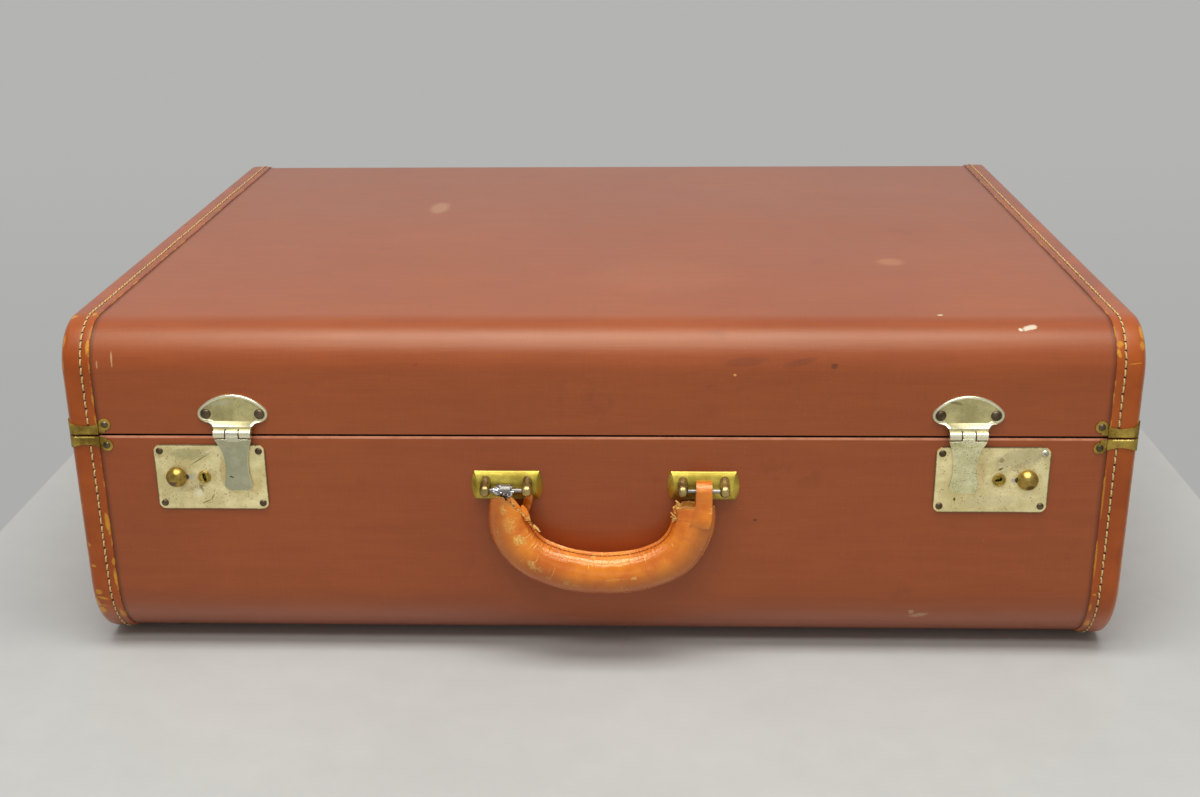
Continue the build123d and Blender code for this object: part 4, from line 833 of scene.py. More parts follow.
# Hasps: a pressed nickel plate with a raised bead round it, bent forward to two knuckles; a waisted
# flap hangs from the pin between them and its hook goes into the lock. The left flap is smooth
# and grey, the right one is pitted. Sizes are in mm, out from the front covering.
FRONT_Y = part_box("base_covering")[0].y
HASP_X, HASP_PIN, HASP_TOP = 225.8, (5.2, 156.3), 180.7
HASP_BEND, HASP_STEP, HASP_FOOT = 163.1, 161.0, 159.2
HASP_RIVET, HASP_TIP, HASP_NECK = (16.6, 167.9), 5.3, 11.6
HASP_SHEET, HASP_FORWARD = 1.2, 3.3
BEAD_WIDE, BEAD_HIGH, RIM_LIT_Z = 2.1, 2.0, 172
KNUCKLE, KNUCKLE_SPANS, FLAP_KNUCKLE = 2.9, ((-11.6, -4.5), (4.5, 11.6)), (-3.8, 3.8)
FLAP_FACE, FLAP_SHEET, FLAP_BEND, FLAP_CURVE, FLAP_TOP = 3.0, 1.5, 136.0, 38.8, 153.0


def on_front(x, out_, z):
    """A place in metres from millimetres: X, out from the front covering, and Z."""
    return (x / 1000, FRONT_Y - out_ / 1000, z / 1000)


def clipped(value):
    return max(0.0, min(1.0, value))


def arc_through(a, b, c, steps):
    """Points on the arc from a through b to c, less than half a turn, the last one left off."""
    a, b, c = (complex(*p) for p in (a, b, c))
    w = (c - a) / (b - a)
    centre = a + (b - a) * (w - abs(w) ** 2) / (2j * w.imag)
    sweep = phase((c - centre) / (a - centre))
    spots = [centre + (a - centre) * rect(1, sweep * i / steps) for i in range(steps)]
    return [(p.real, p.imag) for p in spots]


def inside(outline, x, z):
    crossed = False
    for (ax, az), (bx, bz) in zip(outline, outline[1:] + outline[:1]):
        if (az > z) != (bz > z) and x < ax + (bx - ax) * (z - az) / (bz - az):
            crossed = not crossed
    return crossed


def from_edge(outline, x, z, skipped):
    """How far a place is from an outline, leaving out the edges that lie at the skipped height."""
    nearest = 1e9
    for (ax, az), (bx, bz) in zip(outline, outline[1:] + outline[:1]):
        if skipped and abs(az - skipped) < 1e-4 and abs(bz - skipped) < 1e-4:
            continue
        dx, dz = bx - ax, bz - az
        t = clipped(((x - ax) * dx + (z - az) * dz) / (dx * dx + dz * dz))
        nearest = min(nearest, (x - ax - dx * t) ** 2 + (z - az - dz * t) ** 2)
    return sqrt(nearest)


def level_back(x, z, d):
    return 0.02


def unlit(x, z, d):
    return 0.0


def pressed_sheet(centre_x, outline, insets, folds, front, back=level_back, shine=unlit, skipped=None):
    """A sheet pressed to shape: its outline in the front view, lines where its height is given as well,
    and its front and back heights out from the wall, by place and distance from the edge. A highlight
    painted on its front is given the same way."""
    count = len(outline)
    flat = [Vector(p) for p in outline]
    spots = list(flat)
    edges = [(i, (i + 1) % count) for i in range(count)]
    for inset in insets:
        edges += [(len(spots) + i, len(spots) + (i + 1) % count) for i in range(count)]
        for i in range(count):
            run = (flat[(i + 1) % count] - flat[i - 1]).normalized()
            spots.append(flat[i] + Vector((-run.y, run.x)) * inset)
    for line in folds:
        edges += [(len(spots) + i, len(spots) + i + 1) for i in range(len(line) - 1)]
        spots += [Vector(p) for p in line]
    places, _, triangles, *_ = delaunay_2d_cdt(spots, edges, [], 0, 1e-4, False)
    middles = [sum((places[i] for i in corners), Vector((0, 0))) / 3 for corners in triangles]
    kept = [corners for corners, middle in zip(triangles, middles) if inside(outline, *middle)]
    work = bmesh.new()
    layer = work.verts.layers.float.new("shine")
    fronts, backs = {}, {}
    for i in sorted({i for corners in kept for i in corners}):
        x, z = places[i]
        d = from_edge(outline, x, z, skipped)
        fronts[i] = work.verts.new(on_front(centre_x + x, front(x, z, d), z))
        backs[i] = work.verts.new(on_front(centre_x + x, back(x, z, d), z))
        fronts[i][layer] = shine(x, z, d)
    for corners in kept:
        work.faces.new([fronts[i] for i in corners])
        work.faces.new([backs[i] for i in reversed(corners)])
    twin = {fronts[i]: backs[i] for i in fronts}
    for edge_ in [e for e in work.edges if len(e.link_faces) == 1 and e.verts[0] in twin]:
        a, b = edge_.verts
        work.faces.new((a, b, twin[b], twin[a]))
    return as_mesh(work, True)


def mirrored_outline(right_half):
    """A closed outline from its right half, given from the bottom to the top."""
    left = [(-x, z) for x, z in reversed(right_half)]
    return right_half + [p for p in left if abs(p[0]) > 1e-6]


def joined(meshes):
    """Several meshes as one."""
    work = bmesh.new()
    for mesh in meshes:
        work.from_mesh(mesh)
        bpy.data.meshes.remove(mesh)
    return as_mesh(work)


def hasp_outline():
    """The plate's edge: the neck's side, the rounded tip about the rivet, and the arc over the top."""
    half = [(HASP_NECK, HASP_FOOT)]
    neck = (HASP_NECK, HASP_FOOT), (12.6, 162.4), (16.9, HASP_RIVET[1] - HASP_TIP)
    for t in [i / 8 for i in range(1, 8)]:
        half.append(tuple((1 - t) ** 2 * a + 2 * t * (1 - t) * b + t * t * c for a, b, c in zip(*neck)))
    for a in [radians(-84 + 129 * i / 12) for i in range(13)]:
        half.append((HASP_RIVET[0] + HASP_TIP * cos(a), HASP_RIVET[1] + HASP_TIP * sin(a)))
    top = half[-1]
    half += arc_through(top, (0, HASP_TOP), (-top[0], top[1]), 36)[1:18]
    return mirrored_outline(half + [(0.0, HASP_TOP)])


def hasp_front(x, z, d):
    face = HASP_SHEET + clipped((HASP_BEND - z) / (HASP_BEND - HASP_STEP)) * HASP_FORWARD
    face += max(0.0, HASP_STEP - z) * 0.28
    if d >= BEAD_WIDE:
        return face
    radius = BEAD_WIDE / 2
    bead = BEAD_HIGH - radius + radius * sqrt(max(0.0, 1 - ((d - radius) / radius) ** 2))
    bead = max(bead, HASP_SHEET) if d > radius else bead
    return face + clipped((z - HASP_FOOT - 0.8) / 2.4) * (bead - HASP_SHEET)


def hasp_back(x, z, d):
    return max(0.03, hasp_front(x, z, BEAD_WIDE) - HASP_SHEET)


# Painted highlight on the hasp plate: bright on the sloping step at the bend, faint below it, and along the bead,
# brightest over its top.
def hasp_painted_highlight(x, z, d):
    if z < HASP_BEND + 0.01:
        return 0.8 if z >= HASP_STEP else 0.2
    return (0.85 if z > RIM_LIT_Z else 0.5) if d < BEAD_WIDE - 0.15 else 0.0


def knuckle(centre_x, low, high):
    """A rolled knuckle round the pin, its ends eased, with a highlight painted all over it."""
    rings = []
    for x, size in ((low, 0.94), (low + 0.14, 1.0), (high - 0.14, 1.0), (high, 0.94)):
        size *= KNUCKLE
        spots = [(HASP_PIN[0] + size * cos(a), HASP_PIN[1] + size * sin(a)) for a in turns(28)]
        rings.append([on_front(centre_x + x, *spot) for spot in spots])
    return lofted(rings, values=("shine", [[0.85] * 28] * 4))


def flap_outline():
    half = [(0.0, 116.9), (2.4, 116.9), (4.7, 117.0)]
    half += [(4.7 + 4.2 * sin(radians(a)), 121.2 - 4.2 * cos(radians(a))) for a in range(12, 90, 12)]
    half += arc_through((8.9, 121.6), (7.3, 134.0), (11.5, 152.0), 22)
    half += [(11.5, 152.6)] + [(x, FLAP_TOP) for x in (11.3, 8.0, 3.8, 0.0)]
    return mirrored_outline(half)


def flap_height(z):
    return FLAP_FACE + (FLAP_CURVE - sqrt(FLAP_CURVE**2 - (z - FLAP_BEND) ** 2) if z > FLAP_BEND else 0.0)


def flap_front(x, z, d):
    return flap_height(z) - 0.45 * max(0.0, 1 - d / 0.55) ** 2 - 0.12 * max(0.0, 1 - abs(x) / 6)


def flap_back(x, z, d):
    return flap_height(z) - FLAP_SHEET


# Painted highlight along the flap's edges.
def flap_painted_highlight(x, z, d):
    return 0.9 * max(0.0, 1 - d / 0.6)


def flap_web(centre_x):
    """The strip of the flap that rolls up into its knuckle, with a half-strength painted highlight."""
    top = flap_height(152.0)
    section = [(top - 1.4, 151.4), (top, 151.4), (top + 0.15, 152.6)]
    section += [(8.0, 155.2), (6.0, 156.6), (4.4, 154.2), (top - 1.3, 152.6)]
    rings = [[on_front(centre_x + x, *spot) for spot in section] for x in FLAP_KNUCKLE]
    return lofted(rings, values=("shine", [[0.5] * len(section)] * 2))


hasp_nickel = metal_material(
    "hasp_nickel", (216, 206, 150), (182, 172, 122), (136, 110, 66), 0.45, 0.45, 0.42, 0.3,
    ((-233, -254, 175, 8, 2.2, 6, (204, 202, 176), 0.5),
     (218, -254, 176, 6, 1.2, -14, (120, 104, 66), 0.6)), 0.9,
)
flap_metals = {
    "left": metal_material(
        "smooth_flap_nickel", (190, 190, 158), (170, 170, 138), (140, 116, 76), 0.3, 0.15, 0.34, 0.2,
        ((-229.6, -256, 126.5, 1.8, 0.6, -24, (70, 48, 26), 0.9),
         (-227, -256, 137, 5, 4, 0, (196, 196, 170), 0.4)), 0.95,
    ),
    "right": metal_material(
        "pitted_flap_nickel", (250, 246, 200), (216, 212, 158), (120, 112, 66), 0.6, 2.4, 0.40, 0.7, (), 0.85, 950,
    ),
}
for side, sign in SIDES.items():
    x = sign * HASP_X
    rows = [[(-22, z), (22, z)] for z in (HASP_STEP - 0.1, HASP_STEP, HASP_BEND, HASP_BEND + 0.15, 162.4, 161.7, 160.2)]
    insets = (0.1, 0.3, 0.6, 1.05, 1.5, 1.8, 2.1)
    parts = [pressed_sheet(x, hasp_outline(), insets, rows, hasp_front, hasp_back, hasp_painted_highlight, HASP_FOOT)]
    parts += [knuckle(x, *span) for span in KNUCKLE_SPANS]
    finished(f"hasp_face_{side}", joined(parts), hasp_nickel, "lid", [f"hasp_plate_{side}"], 30)
    rows = [[(-14, 136 + 1.5 * i), (14, 136 + 1.5 * i)] for i in range(11)]
    parts = [pressed_sheet(x, flap_outline(), (0.12, 0.3, 0.55), rows, flap_front, flap_back, flap_painted_highlight)]
    parts += [knuckle(x, *FLAP_KNUCKLE), flap_web(x)]
    name, body = f"flap_tongue_{side}", f"flap_{side}"
    finished(name, joined(parts), flap_metals[side], body, [f"hasp_flap_{side}"], 30)


def remade(material, *names):
    """New materials on CAD nodes whose shape is right."""
    for name in names:
        nodes[name].data.materials.clear()
        nodes[name].data.materials.append(material)


remade(hasp_nickel, "hasp_hook_left", "hasp_hook_right")
remade(rivet_steel, "hasp_pins", "hinge_pins")
remade(inner_steel, "lock_cases", *[f"{n}_{side}" for n in ("lock_spring", "latch_slide") for side in SIDES])


# Handle plates: pressed brass pillows with a facet at each end. Two bullet-nosed lugs come through
# each plate and hold a steel pin.
HANDLE_X, PLATE_OFFSET, LUG_OFFSET = 4.2, 61.3, 13.0
PLATE_Z, PLATE_HALF, PLATE_BULGE, FACET_SLOPE = 120.5, 9.5, 3.5, 0.82
PLATE_TOP, PLATE_FOOT = PLATE_Z + PLATE_HALF, PLATE_Z - PLATE_HALF
PILLOW_RADIUS = (PLATE_HALF**2 + PLATE_BULGE**2) / (2 * PLATE_BULGE)
LUG_HALF_WIDE, LUG_NOSE = 3.3, 3.9
PIN_OUT, PIN_Z = 10.2, 121.0
PLATES_X = {side: HANDLE_X + sign * PLATE_OFFSET for side, sign in SIDES.items()}


def plate_edge(z):
    return 20.3 + 2.2 * (1 - ((z - PLATE_Z) / PLATE_HALF) ** 2)


def pillow(z):
    return sqrt(PILLOW_RADIUS**2 - (z - PLATE_Z) ** 2) - PILLOW_RADIUS + PLATE_BULGE


def plate_front(x, z, d):
    facet = 0.35 + (plate_edge(z) - abs(x)) * FACET_SLOPE
    return max(0.3, min(pillow(z) + 0.3, facet)) - 0.25 * max(0.0, 1 - d / 0.35) ** 2


def up_the_plate(steps):
    return [PLATE_Z + PLATE_HALF * t / steps for t in range(-steps, steps + 1)]


def lug_mesh(x):
    stations = [(1.5, 5.6, 122.1, 1.0), (4.0, 5.2, 121.9, 1.0), (7.0, 4.5, 121.4, 1.0), (10.2, LUG_NOSE, PIN_Z, 1.0)]
    for a in [pi / 2 * i / 7.4 for i in range(1, 8)]:
        stations.append((10.2 + LUG_NOSE * sin(a), LUG_NOSE * cos(a), PIN_Z, cos(a) ** 0.5))
    rounded = [[abs(v) ** 0.8 * (1 if v > 0 else -1) for v in (cos(a), sin(a))] for a in turns(28)]
    return lofted([
        [on_front(x + LUG_HALF_WIDE * share * c, out_, z + tall * s) for c, s in rounded]
        for out_, tall, z, share in stations
    ])


# Painted shade along each plate's top edge, darkening where it catches the light from above.
top_edges_painted_shade = [(x, -256.0, 129.6, 26.0, 1.1, 0, (150, 132, 62), 0.8) for x in PLATES_X.values()]
plate_brass = metal_material(
    "handle_plate_brass", (222, 202, 92), (178, 156, 62), (110, 92, 40), 0.5, 0.4, 0.30, marks=top_edges_painted_shade
)
lug_bronze = metal_material("lug_bronze", (196, 174, 112), (130, 110, 66), (74, 60, 36), 0.6, 0.4, 0.18, metallic=0.85)
outline = [(0.0, PLATE_FOOT), (10.0, PLATE_FOOT), *[(plate_edge(z), z) for z in up_the_plate(9)]]
outline = mirrored_outline(outline + [(10.0, PLATE_TOP), (0.0, PLATE_TOP)])
folds = [[(-24, z), (24, z)] for z in up_the_plate(10)[1:-1]]
for way in (-1, 1):
    facet_line = [way * (plate_edge(z) - max(0.02, (pillow(z) - 0.05) / FACET_SLOPE)) for z in up_the_plate(12)]
    folds.append(list(zip(facet_line, up_the_plate(12))))
for side, x in PLATES_X.items():
    plate = pressed_sheet(x, outline, (0.15, 0.35), folds, plate_front)
    finished(f"handle_plate_pillow_{side}", plate, plate_brass, "base", [f"handle_plate_{side}"], 26)
lugs = [lug_mesh(x + way * LUG_OFFSET) for x in PLATES_X.values() for way in (-1, 1)]
finished("handle_lug_noses", joined(lugs), lug_bronze, "base", ["handle_lugs"])
remade(inner_steel, "handle_pins", "handle_core")


# Grip: glazed orange leather over the steel core, sewn along its inner side. Its ends are pinched
# and torn, and the glaze has cracked crosswise and worn off in yellow patches.
GRIP_LEAN = radians(2.6)
GRIP_HALF_LONG = 87.85
GRIP_WIDE, GRIP_THICK, GRIP_THIN = 13.25, 11.8, 6.3
GRIP_RINGS, GRIP_ROUND = 170, 96
LOW_RADIUS, LOW_Z, LOW_HALF = 97.2, 65.5, 41.45
SIDE_RADIUS, BEND_ANGLE = 35.0, radians(24.43)
RIGHT_ARM_IN, PULL_FROM, PULL_OVER = 4.8, 8, 68
CREASE_TURN, TEAR_FROM, WRAP_SCALE = radians(148), 0.80, 0.012
GRIP_ENDS = ((0.90, 0.2, 1.0), (0.86, 3.0, 0.75), (0.30, 4.5, 0.5))  # size, how far in, rawness
GRIP_WEAR = (
    # x, z, half-sizes in mm, turn, strength
    (-58.5, 111.2, 2.2, 4.2, 20, 0.8), (-55, 101.5, 4.5, 6, 0, 0.5), (-48.7, 91.8, 4.6, 3.6, -20, 1),
    (-40.9, 75.6, 2.6, 4.8, 30, 1), (-36, 73, 2, 2.2, 0, 0.8), (-30.9, 67.2, 2.4, 1.4, -20, 0.8),
    (-20, 63.8, 2.6, 2.2, 0, 1), (-14, 62.5, 4, 0.9, -4, 0.8), (-2.8, 78.7, 2.2, 1.1, 10, 0.6),
    (22.3, 68, 2.2, 1.5, 10, 0.8), (10, 67, 7, 0.5, 6, 0.5), (43.6, 66.7, 2, 0.9, 30, 1),
    (-1, 52.9, 6, 0.9, 0, 0.9), (17.6, 55, 3, 0.7, 10, 0.8), (-14, 55, 5, 0.7, -8, 0.6),
    (-42, 105, 1.8, 4, -30, 0.9), (48.5, 112, 1.6, 3, 0, 0.9), (-62, 96, 0.7, 5, 0, 0.6),
)


def grip_station(run):
    """A place on the grip's middle line in the front view, and its direction, by the distance from the
    middle of the grip."""
    reach = abs(run)
    if reach <= LOW_HALF:
        a = reach / LOW_RADIUS
        x, z = LOW_RADIUS * sin(a), LOW_Z + LOW_RADIUS * (1 - cos(a))
    else:
        a = BEND_ANGLE + (reach - LOW_HALF) / SIDE_RADIUS
        x = LOW_RADIUS * sin(BEND_ANGLE) + SIDE_RADIUS * (sin(a) - sin(BEND_ANGLE))
        z = LOW_Z + LOW_RADIUS * (1 - cos(BEND_ANGLE)) + SIDE_RADIUS * (cos(BEND_ANGLE) - cos(a))
    way = 1 if run >= 0 else -1
    pulled = clipped((run - PULL_FROM) / PULL_OVER)
    return HANDLE_X + way * x - RIGHT_ARM_IN * pulled**2 * (3 - 2 * pulled), z, way * a


def leaning(x, out_, z):
    """A place on the hanging handle, whose foot leans out from the wall."""
    away, down = out_ - PIN_OUT, z - PIN_Z
    out_ = PIN_OUT + away * cos(GRIP_LEAN) - down * sin(GRIP_LEAN)
    return on_front(x, out_, PIN_Z + down * cos(GRIP_LEAN) + away * sin(GRIP_LEAN))


def grip_point(run, turn, extra=0.0, size=1.0):
    """A place on the grip's skin. Turn is 0 on the inner side and a quarter round on the front."""
    share = min(1.0, abs(run) / GRIP_HALF_LONG)
    x, z, a = grip_station(run)
    full = max(0.0, cos(share * pi / 2)) ** 0.75
    wide = GRIP_WIDE * (1 - (0.16 if run < 0 else 0.02) * max(0.0, share - 0.75) * 4)
    thick = GRIP_THIN + (GRIP_THICK - GRIP_THIN) * full
    c, s = cos(turn), sin(turn)
    grow = extra + 1.1 * exp(-((min(turn, 2 * pi - turn) / 0.085) ** 2)) * (1 - 0.5 * share**6)
    if 0 < run < 0.86 * GRIP_HALF_LONG:
        grow -= 0.45 * exp(-(((turn - CREASE_TURN) / 0.05) ** 2)) * min(1.0, run / 14)
    for often, round_, high in ((0.05, 1.2, 0.35), (0.22, 3, 0.10), (0.9, 0.9, 0.05)):
        grow += noise.noise((run * often, c * round_, s * round_)) * high
    across, away = (wide * size + grow) * c, (thick * size + grow) * s
    return leaning(x - across * sin(a), PIN_OUT + away, z + across * cos(a))


def torn_reach(way, turn):
    """How far the leather runs past the grip's end, by the place round it: the ends are ragged."""
    front, outer, inner = max(0.0, sin(turn)), max(0.0, -cos(turn)), max(0.0, cos(turn))
    ragged = noise.noise((turn * 3.0, way * 4.0, 0.5)) * 1.6 + noise.noise((turn * 11.0, way, 2.0)) * 0.8
    if way < 0:
        return outer + 4.0 * front - 7.5 * inner + ragged
    return -2.5 * outer + 1.5 * front + 0.5 * inner + ragged


def stretched(run, turn):
    way, weight = 1 if run > 0 else -1, max(0.0, abs(run) / GRIP_HALF_LONG - TEAR_FROM) / (1 - TEAR_FROM)
    return run + way * weight**2 * torn_reach(way, turn)


def grip_mesh():
    around = turns(GRIP_ROUND)
    skin = []
    for run in [GRIP_HALF_LONG * (2 * i / GRIP_RINGS - 1) for i in range(GRIP_RINGS + 1)]:
        raw = max(0.0, abs(run) / GRIP_HALF_LONG - 0.985) / 0.015 * 0.8
        skin.append(([grip_point(stretched(run, t), t) for t in around], raw))
    left, right = (
        [([grip_point(stretched(way * GRIP_HALF_LONG, t) - way * sunk, t, 0, size) for t in around], raw)
         for size, sunk, raw in GRIP_ENDS] for way in (-1, 1)
    )
    rings = left[::-1] + skin + right
    seam = [2 * pi * k / GRIP_ROUND * WRAP_SCALE for k in range(GRIP_ROUND + 1)]
    along = [i * 2 * GRIP_HALF_LONG / GRIP_RINGS / 1000 for i in range(len(rings))]
    raws = ("raw", [[raw] * GRIP_ROUND for _, raw in rings])
    return lofted([ring for ring, _ in rings], ("wrap", seam, along), raws)


orange_glaze, place = new_material("orange_glazed_leather")
wrap = wire(orange_glaze.node_tree, "ShaderNodeUVMap", {"uv_map": "wrap"}).outputs[0]
raw = wire(orange_glaze.node_tree, "ShaderNodeAttribute", {"attribute_name": "raw"}).outputs["Fac"]
cloud = noise_of(place, 45, 4, 0.6)
colour = mixed(stepped(cloud, 0.35, 0.65), (206, 98, 18), (232, 132, 30))
crossed = noise_of(wrap, 560, 4, 0.65, (0.09, 1.0, 1.0))
cracks = times(stepped(crossed, 0.58, 0.66), stepped(noise_of(place, 80, 3, 0.6), 0.50, 0.62))
grip_y = (FRONT_Y - 0.020) * 1000
patches = worn_at(place, [(x, grip_y, z, a / 0.9, b / 0.9, *rest) for x, z, a, b, *rest in GRIP_WEAR], 14.0)
bitten = stepped(noise_of(place, 760, 5, 0.85), 0.43, 0.49)
bare = larger(larger(cracks, times(patches, bitten)), raw)
gold = mixed(noise_of(place, 800, 3, 0.6), (232, 160, 62), (255, 206, 112))
colour = painted(mixed(bare, colour, gold), band(raw, 0.3, 0.5, 0.52, 0.72), (112, 64, 32))
from_seam = axis_of(wrap, "X")
# Painted shade, partly a darker tone: the grip's lower front is painted browner.
colour = painted(colour, band(from_seam, 0.0150, 0.0250, 0.0450, 0.0520), (156, 74, 26), 0.6)
colour = painted(colour, stepped(apart(from_seam, 0.0030), 0.00035, 0.0001), (120, 56, 22), 0.5)
surfaced(
    orange_glaze, colour, spread(bare, 0.4, spread(cloud, 0.12, 0.08)), spread(bare, -0.25, crossed), 0.9, 0.0005,
    Specular_IOR_Level=1.0, Specular_Tint=(1.0, 0.8, 0.48, 1.0), Coat_Weight=0.12, Coat_Roughness=0.05,
)
finished("leather_grip", grip_mesh(), orange_glaze, "handle", ["handle_grip"])
GRIP_PITCH, GRIP_SEWN, GRIP_SEAM_TURN = 3.3, (-66.0, 68.0), 0.235
dark_thread = grained("dark_grip_thread", THREAD_PLY, (46, 24, 14), (64, 34, 20), *THREAD_FINISH)
points = []
for turn in (GRIP_SEAM_TURN, 2 * pi - GRIP_SEAM_TURN):
    run = GRIP_SEWN[0]
    while run < GRIP_SEWN[1]:
        here, ahead, under = (Vector(grip_point(*p)) for p in ((run, turn), (run + 0.5, turn), (run, turn, -1.0)))
        points.append((here, (ahead - here).normalized(), (here - under).normalized()))
        run += GRIP_PITCH
sizes = {"Stitch length": 0.0023, "Thread radius": 0.00028, "Rise": 0.0004, "Hole radius": 0.0003, "Slant": 0.0}
stitches = grown(stitch_tree(dark_thread, awl_hole_painted_shade, GRIP_PITCH / 1000), points, sizes)
finished("grip_stitches", stitches, None, "handle")


# Loops: a leather strap over each eye of the core, tucked into the grip. The right one is whole. The
# left one has torn through, and a crumpled bit of metal is left on its pin.
STRAP_HALF, STRAP_SHEET, TORN_SHEET = 4.9, 1.5, 1.2
STRAP_SECTION = (  # share of the half-width, and of the thickness
    (-1, -0.5), (-0.97, 0.2), (-0.86, 0.5), (-0.4, 0.54), (0, 0.56), (0.4, 0.54), (0.86, 0.5), (0.97, 0.2), (1, -0.5),
    (0.5, -0.5), (0, -0.5), (-0.5, -0.5)
)
STRAP_AROUND = [0.0, 0.001, 0.002, 0.004, 0.006, 0.008, 0.010, 0.011, 0.012, 0.014, 0.016, 0.018, 0.020]
# Paths of out, height, sideways shift and share of the width
WHOLE_BEHIND = ((4.9, 104.0, -1.6, 1.0), (4.8, 108.0, -1.0, 1.0), (4.6, 113.0, -0.4, 1.0), (4.4, 118.0, 0.0, 1.0))
WHOLE_FRONT = ((16.0, 117.5, 0.0, 1.02), (16.0, 113.5, -0.2, 1.06), (16.8, 109.5, -0.6, 1.14),
               (17.8, 105.5, -1.4, 1.24), (18.2, 102.0, -2.4, 1.3), (16.6, 99.0, -3.4, 1.28))
OVER_PIN_RADIUS, OVER_PIN_FROM, OVER_PIN_TO, OVER_PIN_STEPS = 5.9, 172, 10, 14
TORN_PATHS = (
    ((5.0, 104.0, 10.5, 0.62), (5.6, 108.0, 12.0, 0.62), (6.4, 112.0, 13.2, 0.58), (7.0, 115.5, 14.0, 0.52),
     (7.2, 117.6, 14.3, 0.38)),
    ((13.0, 105.5, 8.6, 0.7), (13.6, 109.0, 7.4, 0.75), (13.4, 112.5, 5.4, 0.62), (12.4, 115.6, 3.2, 0.5),
     (11.2, 117.6, 1.6, 0.3)),
    ((15.0, 103.0, 13.6, 0.34), (14.6, 106.5, 12.8, 0.44), (13.6, 109.6, 11.4, 0.40), (12.4, 112.2, 10.4, 0.2)),
)
FRAY_LINES = (((-53.5, 13.4, 115.2), (-38.6, 15.4, 98.0), 15), ((49.5, 12.6, 114.6), (46.6, 14.6, 103.4), 11))


def strap_rings(centre_x, path, half, sheet, ragged=0.0, seed=0.0):
    """Rings for a strap along a path, with rounded edges."""
    rings = []
    for i, (out_, z, shift, share) in enumerate(path):
        before, behind = path[max(0, i - 1)], path[min(len(path) - 1, i + 1)]
        run = Vector((behind[0] - before[0], behind[1] - before[1])).normalized()
        wide = half * share + ragged * noise.noise((i * 0.7, seed, 1.0))
        rings.append([
            leaning(centre_x + shift + across * wide, out_ + run.y * lift * sheet, z - run.x * lift * sheet)
            for across, lift in STRAP_SECTION
        ])
    return rings


def strap_mesh(rings):
    seam = ("wrap", STRAP_AROUND, [i * 0.0012 for i in range(len(rings))])
    return lofted(rings, seam, ("raw", [[0.0] * 12] * len(rings)))


whole = list(WHOLE_BEHIND)
for i in range(OVER_PIN_STEPS + 1):
    a = radians(OVER_PIN_FROM + (OVER_PIN_TO - OVER_PIN_FROM) * i / OVER_PIN_STEPS)
    whole.append((PIN_OUT + OVER_PIN_RADIUS * cos(a), PIN_Z + OVER_PIN_RADIUS * sin(a), 0.0, 1.0))
rings = strap_rings(PLATES_X["right"], whole + list(WHOLE_FRONT), STRAP_HALF, STRAP_SHEET)
finished("whole_loop_right", strap_mesh(rings), orange_glaze, "handle", ["handle_loop_right"])
torn = []
for i, path in enumerate(TORN_PATHS):
    torn.append(strap_mesh(strap_rings(PLATES_X["left"], path, STRAP_HALF, TORN_SHEET, 0.9, i * 3.1)))
finished("torn_loop_left", joined(torn), orange_glaze, "handle", ["handle_loop_left"])

frays = []
for first, last, count in FRAY_LINES:
    for i in range(count):
        x, out_, z = [a + (b - a) * i / (count - 1) for a, b in zip(first, last)]
        chance = [noise.noise((i * 1.37 + k * 5.1, first[0], k * 2.3)) for k in range(5)]
        long, lean = 2.6 + 2.4 * chance[0], 0.5 + 1.6 * chance[1]
        path = []
        for t in (0, 0.25, 0.5, 0.75, 1.0):
            spot = (out_ + 0.9 * chance[2] + 0.7 * sin(t * 3 + i), z + long * (t - 0.5))
            path.append((*spot, lean * long * (0.5 - t) + 1.6 * chance[3], 1 - 0.7 * abs(t - 0.4)))
        rings = strap_rings(x, path, STRAP_HALF * (0.16 + 0.1 * chance[4]), 0.45, 0.5, i * 1.7)
        frays.append(lofted(rings, values=("raw", [[0.95] * 12] * 5)))
raw_edge, place = new_material("torn_leather_edge")
fibres = noise_of(place, 900, 4, 0.7)
shade = spread(fibres, 0.6, times(noise_of(place, 160, 3, 0.6), 0.4))
colour = mixed(stepped(shade, 0.38, 0.62), (176, 104, 40), (238, 190, 104))
surfaced(raw_edge, colour, spread(fibres, 0.2, 0.65), fibres, 0.6, 0.0004)
finished("frayed_edges", joined(frays), raw_edge, "handle")

CRUMPLE_AT, CRUMPLE_SIZE = (-58.6, 10.8, 121.0), (5.6, -3.4, 3.0)
work = bmesh.new()
bmesh.ops.create_icosphere(work, subdivisions=4, radius=1.0)
for vert in work.verts:
    way = vert.co.normalized()
    size = 0.72 + abs(noise.noise(way * 2.6)) * 0.9 + abs(noise.noise(way * 6.0 + Vector((3, 1, 2)))) * 0.45
    vert.co = on_front(*[at + w * long * size for at, w, long in zip(CRUMPLE_AT, way, CRUMPLE_SIZE)])
foil = metal_material("crumpled_metal", (226, 226, 228), (168, 168, 172), (108, 96, 84), 0.4, 0.2, 0.22, 0.5)
finished("crumpled_bit", as_mesh(work), foil, "base")


